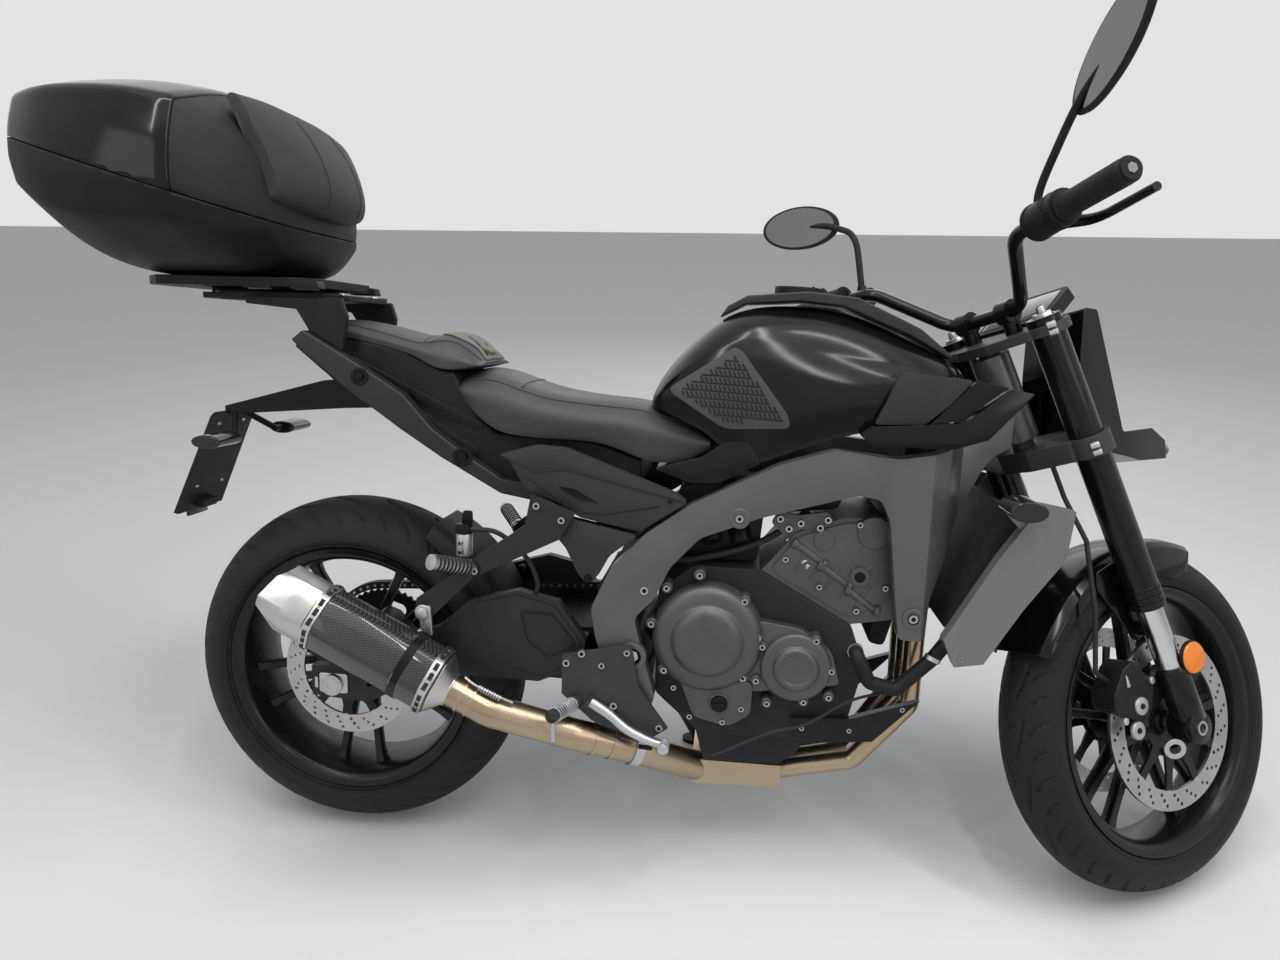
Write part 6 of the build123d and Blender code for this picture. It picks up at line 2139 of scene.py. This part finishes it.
def makeFittings():
    bm = bmesh.new()
    for side in (-1, 1):  # axle blocks and nuts
        castPlate(
            bm, rounded([(-26, 298), (26, 298), (26, 334), (-26, 334)], 5), side * 135.5, side * 141, 3, 2,
        )
        stud(bm, 0, 315, side * 140, side * 149.5, 18.5, count=6)
        ring(bm, (0, side * 143, 315), (0, side, 0), 12.5, 8, 7.5, 30)
        castPlate(
            bm, rounded([(-34, 306), (-28, 306), (-28, 326), (-34, 326)], 2), side * 135.5, side * 142, 1,
            1,
        )
        ring(bm, frontHub + Vector((0, side * 118.5, 0)), (0, side, 0), 17, 9, 3.4, 36)
        # rider's pegs and passenger's pegs, with ribs
        start, end = Vector((446, side * 162, 326)), Vector((420, side * 262, 340))
        way = (end - start).normalized()
        rodBetween(bm, start + way * 20, end, 11.6, 10.6, count=24)
        for k in range(9):
            ring(bm, start + way * (26 + k * 8), way, 12.6, 10, 3.6, 18)
        rodBetween(
            bm, end - way * 8 - Vector((0, 0, 10)), end - way * 8 - Vector((0, 0, 44)), 3.2, 4.2, count=14,
        )
        start, end = Vector((262, side * 160, 548)), Vector((214, side * 232, 574))
        way = (end - start).normalized()
        rodBetween(bm, start + way * 6, end, 13.4, 11.5, count=24)
        for k in range(9):
            ring(bm, start + way * (14 + k * 8), way, 14.3, 11, 3.8, 16, material=1)
        rodBetween(
            bm, start - Vector((0, side * 4, 0)), start + Vector((0, side * 10, 0)), 15, count=24,
            material=2,
        )
    tubeAlong(
        bm, [(470, -177, 332), (500, -180, 316), (534, -188, 292), (574, -191, 276), (602, -190, 270)], 7.4,
        radii=(9.5, 6.5), count=16,
    )
    stud(bm, 596, 270, -176, -206, 8.5, 7.5, count=20)
    for k in range(4):
        ring(bm, (596, -180 - k * 7, 270), (0, -1, 0), 9.6, 6, 3, 18)
    tubeAlong(bm, [(470, 177, 332), (530, 187, 292), (602, 191, 270)], 7.4, count=16)
    stud(bm, 598, 270, 180, 212, 8.5, 8, count=20, material=1)
    addPiece("pegsAndLevers", bm, "chassis", ["castSilver", "rubberBlack", "boltBlack"], bevel=0.6)
    items = sideways(
        (
            (452, 167.6, 414, 7), (426, 167.6, 396, 7), (486, 167.6, 395, 6), (508, 167.6, 326, 7),
            (586, 167.6, 292, 7), (528, 167.6, 420, 6),
        )
    )
    items += sideways(((414, 168, 640, 6.5), (372, 168, 662, 6.5), (268, 168, 546, 6.5)))
    items += [((x, -160, z), (0, -1, 0), 5) for x, z in ((240, 574), (240, 590))]
    items += sideways(((826, 124, 290, 4.5), (905, 124, 292, 4.5), (990, 124, 336, 4.5)))
    items += sideways(((1172, 166, 690, 3.5), (1066, 166, 446, 3.5)))
    screws("fittingScrews", "chassis", items)
    bm = bmesh.new()  # exhaust: bands, clamp, spring and welds
    path = [
        Vector((560, -116, 222)), Vector((440, -168, 268)), Vector((310, -202, 310.2)),
        Vector((238.5, -202, 346.2)),
    ]
    for at, way, r in (
        (Vector((272, -202, 329.3)), path[3] - path[2], 28.5),
        (Vector((256, -202, 337.4)), path[3] - path[2], 29.3),
        (Vector((470, -155, 256.5)), path[1] - path[0], 28.2),
        (Vector((500, -142, 245)), path[1] - path[0], 28.4),
    ):
        way = way.normalized()
        ring(bm, at - way * 2, way, r, 26, 4, 40)
    way = (path[1] - path[0]).normalized()
    ring(bm, Vector((548, -121, 226.6)), way, 30.5, 26.5, 16, 40, material=1)
    rodBetween(bm, (552, -150, 246), (572, -141, 240), 4.4, count=6, material=2)
    tubeAlong(
        bm, [(262, -206, 372), (282, -214, 362), (322, -212, 344), (344, -208, 334)], 2.0, material=1,
        count=8,
    )
    for k in range(9):
        ring(bm, Vector((288 + k * 4.2, -213.6, 359 - k * 1.9)), (1, 0, -0.45), 5.4, 3.6, 2.2, 14, material=1)
    addPiece("exhaustBands", bm, "chassis", ["linkTint", "castSilver", "boltBlack"])
    bm = bmesh.new()  # swingarm recess, brake line and coolant clamps
    castPlate(
        bm,
        rounded([(250, 478), (332, 498), (398, 482), (442, 424), (440, 390), (372, 356), (300, 380)], 8),
        -133, -138.5, 5, 3,
    )
    castPlate(
        bm, rounded([(340, 470), (394, 470), (436, 420), (390, 392), (352, 420)], 6), -136, -139.6, 3, -2,
        material=1,
    )
    tubeAlong(
        bm,
        [
            (252, -148, 612), (300, -140, 610), (352, -128, 560), (372, -124, 500), (300, -116, 470),
            (150, -112, 410), (92, -106, 396),
        ],
        4.2, count=10, material=2,
    )
    for x, z in ((150, 412), (300, 470)):
        ring(bm, (x, -114, z), (1, 0, 0.3), 6.5, 4, 8, 16, material=3)
    for at, way in (
        ((908, -112.5, 430), (0, -1, 0)), ((1031, -125, 426), (0.42, 0.08, 1)),
        ((1052, -124, 458), (0.5, 0, 0.87)),
    ):
        ring(bm, at, way, 13.6, 11.5, 7, 28, material=3)
    tubeAlong(
        bm,
        [
            (677, -146, 237), (775, -146, 290), (830, -140, 300), (904, -130, 351), (985, -120, 368),
            (1034, -112, 430),
        ],
        2.6, count=8, material=2,
    )
    tubeAlong(
        bm, [(560, -100, 600), (600, -96, 560), (700, -92, 585), (760, -84, 610), (820, -80, 660)], 6,
        count=10, material=2,
    )
    addPiece("hosesAndClamps", bm, "chassis", ["armCast", "engineDark", "hoseRubber", "castSilver"], bevel=0)
    bm = bmesh.new()  # radiator fins and frame
    for k in range(30):
        share = k / 29
        low = Vector((1086, 0, 468)).lerp(Vector((1162, 0, 610)), share)
        loft(
            bm,
            [
                [low + Vector((0.8, y, 0)) + Vector((a * 2.2, 0, b * 1.0)) for a, b in square]
                for y in (-132, 132)
            ],
        )
    for y in (-136, 136):
        rodBetween(bm, (1084, y, 464), (1163, y, 612), 5, count=12)
    addPiece("radiatorFins", bm, "chassis", "coreBlack")
    bm = bmesh.new()  # rack clamps, plate fittings and tail reflector
    for side in (-1, 1):
        for x in (-120, -36):
            castPlate(
                bm, rounded([(x - 26, 1003), (x + 26, 1003), (x + 22, 1017), (x - 22, 1017)], 3),
                side * 104, side * 131, 2, 1,
            )
            rodBetween(bm, (x - 20, side * 118, 1008), (x + 20, side * 118, 1008), 6.5, count=14, material=1)
        for x in (-222, 0):
            rodBetween(bm, (x, side * 70, 990), (x, side * 70, 999), 9, 8, count=6, material=1)
        castPlate(
            bm, rounded([(-200, 984), (10, 984), (14, 998), (-196, 998)], 3), side * 92, side * 104, 2, 1,
        )
    loft(
        bm,
        [
            [(-334 + a, y, 588 + b) for y, b in ((-30, -8), (30, -8), (30, 12), (-30, 12))]
            for a in (-1.5, 4)
        ],
        material=2,
    )
    for y in (-40, 40):
        for z, x in ((760, -257), (640, -308)):
            rodBetween(bm, (x - 4, y, z), (x + 4, y, z + 3), 5, count=6, material=1)
    addPiece("rackClamps", bm, "chassis", ["satinPlastic", "castSilver", "lampSmoke"], bevel=0.8)


makeDrive()
makeFittings()
print("fittings done")


# floor, backdrop, light and camera
def stagePiece(name, verts, faces, color):
    mesh = bpy.data.meshes.new(name)
    mesh.from_pydata(verts, [], faces)
    ob = bpy.data.objects.new(name, mesh)
    scene.collection.objects.link(ob)
    made = bpy.data.materials.new(name)
    made.use_nodes = True
    shader = made.node_tree.nodes["Principled BSDF"]
    shader.inputs["Base Color"].default_value = (*color, 1)
    shader.inputs["Roughness"].default_value = 0.75
    mesh.materials.append(made)


studio = {
    "floor": (0.80, 0.81, 0.82), "sky": (0.93, 0.94, 0.95), "ambient": 0.36, "top": 34.0, "key": 14.0,
    "rim": 12.0, "strip": 18.0,
}
stagePiece(
    "studioFloor", [(-14, -8, 0), (14, -8, 0), (14, 14, 0), (-14, 14, 0)], [(0, 1, 2, 3)], studio["floor"],
)
world = bpy.data.worlds.new("studioWorld")
scene.world = world
world.use_nodes = True
tree = world.node_tree
background = tree.nodes["Background"]
rays = node(tree, "ShaderNodeLightPath")
seen = node(tree, "ShaderNodeMath", operation="MAXIMUM")
more = node(tree, "ShaderNodeMath", operation="MAXIMUM")
strength = node(tree, "ShaderNodeMapRange", {"To Min": studio["ambient"], "To Max": 0.82})
wire(
    tree, (rays, "Is Camera Ray", seen, 0), (rays, "Is Glossy Ray", seen, 1), (seen, 0, more, 0),
    (rays, "Is Transmission Ray", more, 1), (more, 0, strength, "Value"),
    (strength, "Result", background, "Strength"),
)
background.inputs["Color"].default_value = (*studio["sky"], 1)


def areaLight(name, at, target, size, power, sizeY=None):
    data = bpy.data.lights.new(name, "AREA")
    data.energy, data.size = power, size
    if sizeY:
        data.shape, data.size_y = "RECTANGLE", sizeY
    ob = bpy.data.objects.new(name, data)
    ob.location = at
    ob.rotation_euler = (Vector(target) - Vector(at)).to_track_quat("-Z", "Y").to_euler()
    scene.collection.objects.link(ob)


areaLight("topPanel", (0.2, -0.8, 4.2), (0, 0, 0.5), 5.0, studio["top"], 3.2)
areaLight("keyPanel", (-2.6, -3.2, 2.6), (-0.2, 0, 0.7), 1.8, studio["key"])
for side, x in (("rear", -0.9), ("middle", 0.35), ("front", 1.5)):
    areaLight(side + "Strip", (x, -0.7, 3.0), (x * 0.4, 0, 0.6), 0.10, studio["strip"], 2.4)
areaLight("rimPanel", (2.8, -2.4, 2.3), (0.4, 0, 0.6), 1.4, studio["rim"])
areaLight("backPanel", (0.5, 3.6, 2.2), (0, 0, 0.6), 2.2, studio["rim"])

cameraData = bpy.data.cameras.new("photoCamera")
cameraData.sensor_width, cameraData.lens = 36.0, 24.73
camera = bpy.data.objects.new("photoCamera", cameraData)
camera.location = (rearAt.x + 0.69324, rearAt.y - 1.4138, 1.21882)
camera.rotation_euler = (math.radians(69.83), math.radians(-0.06), math.radians(6.46))
scene.collection.objects.link(camera)
scene.camera = camera
scene.view_settings.view_transform = "Standard"
print("stage done")

bpy.context.view_layer.update()
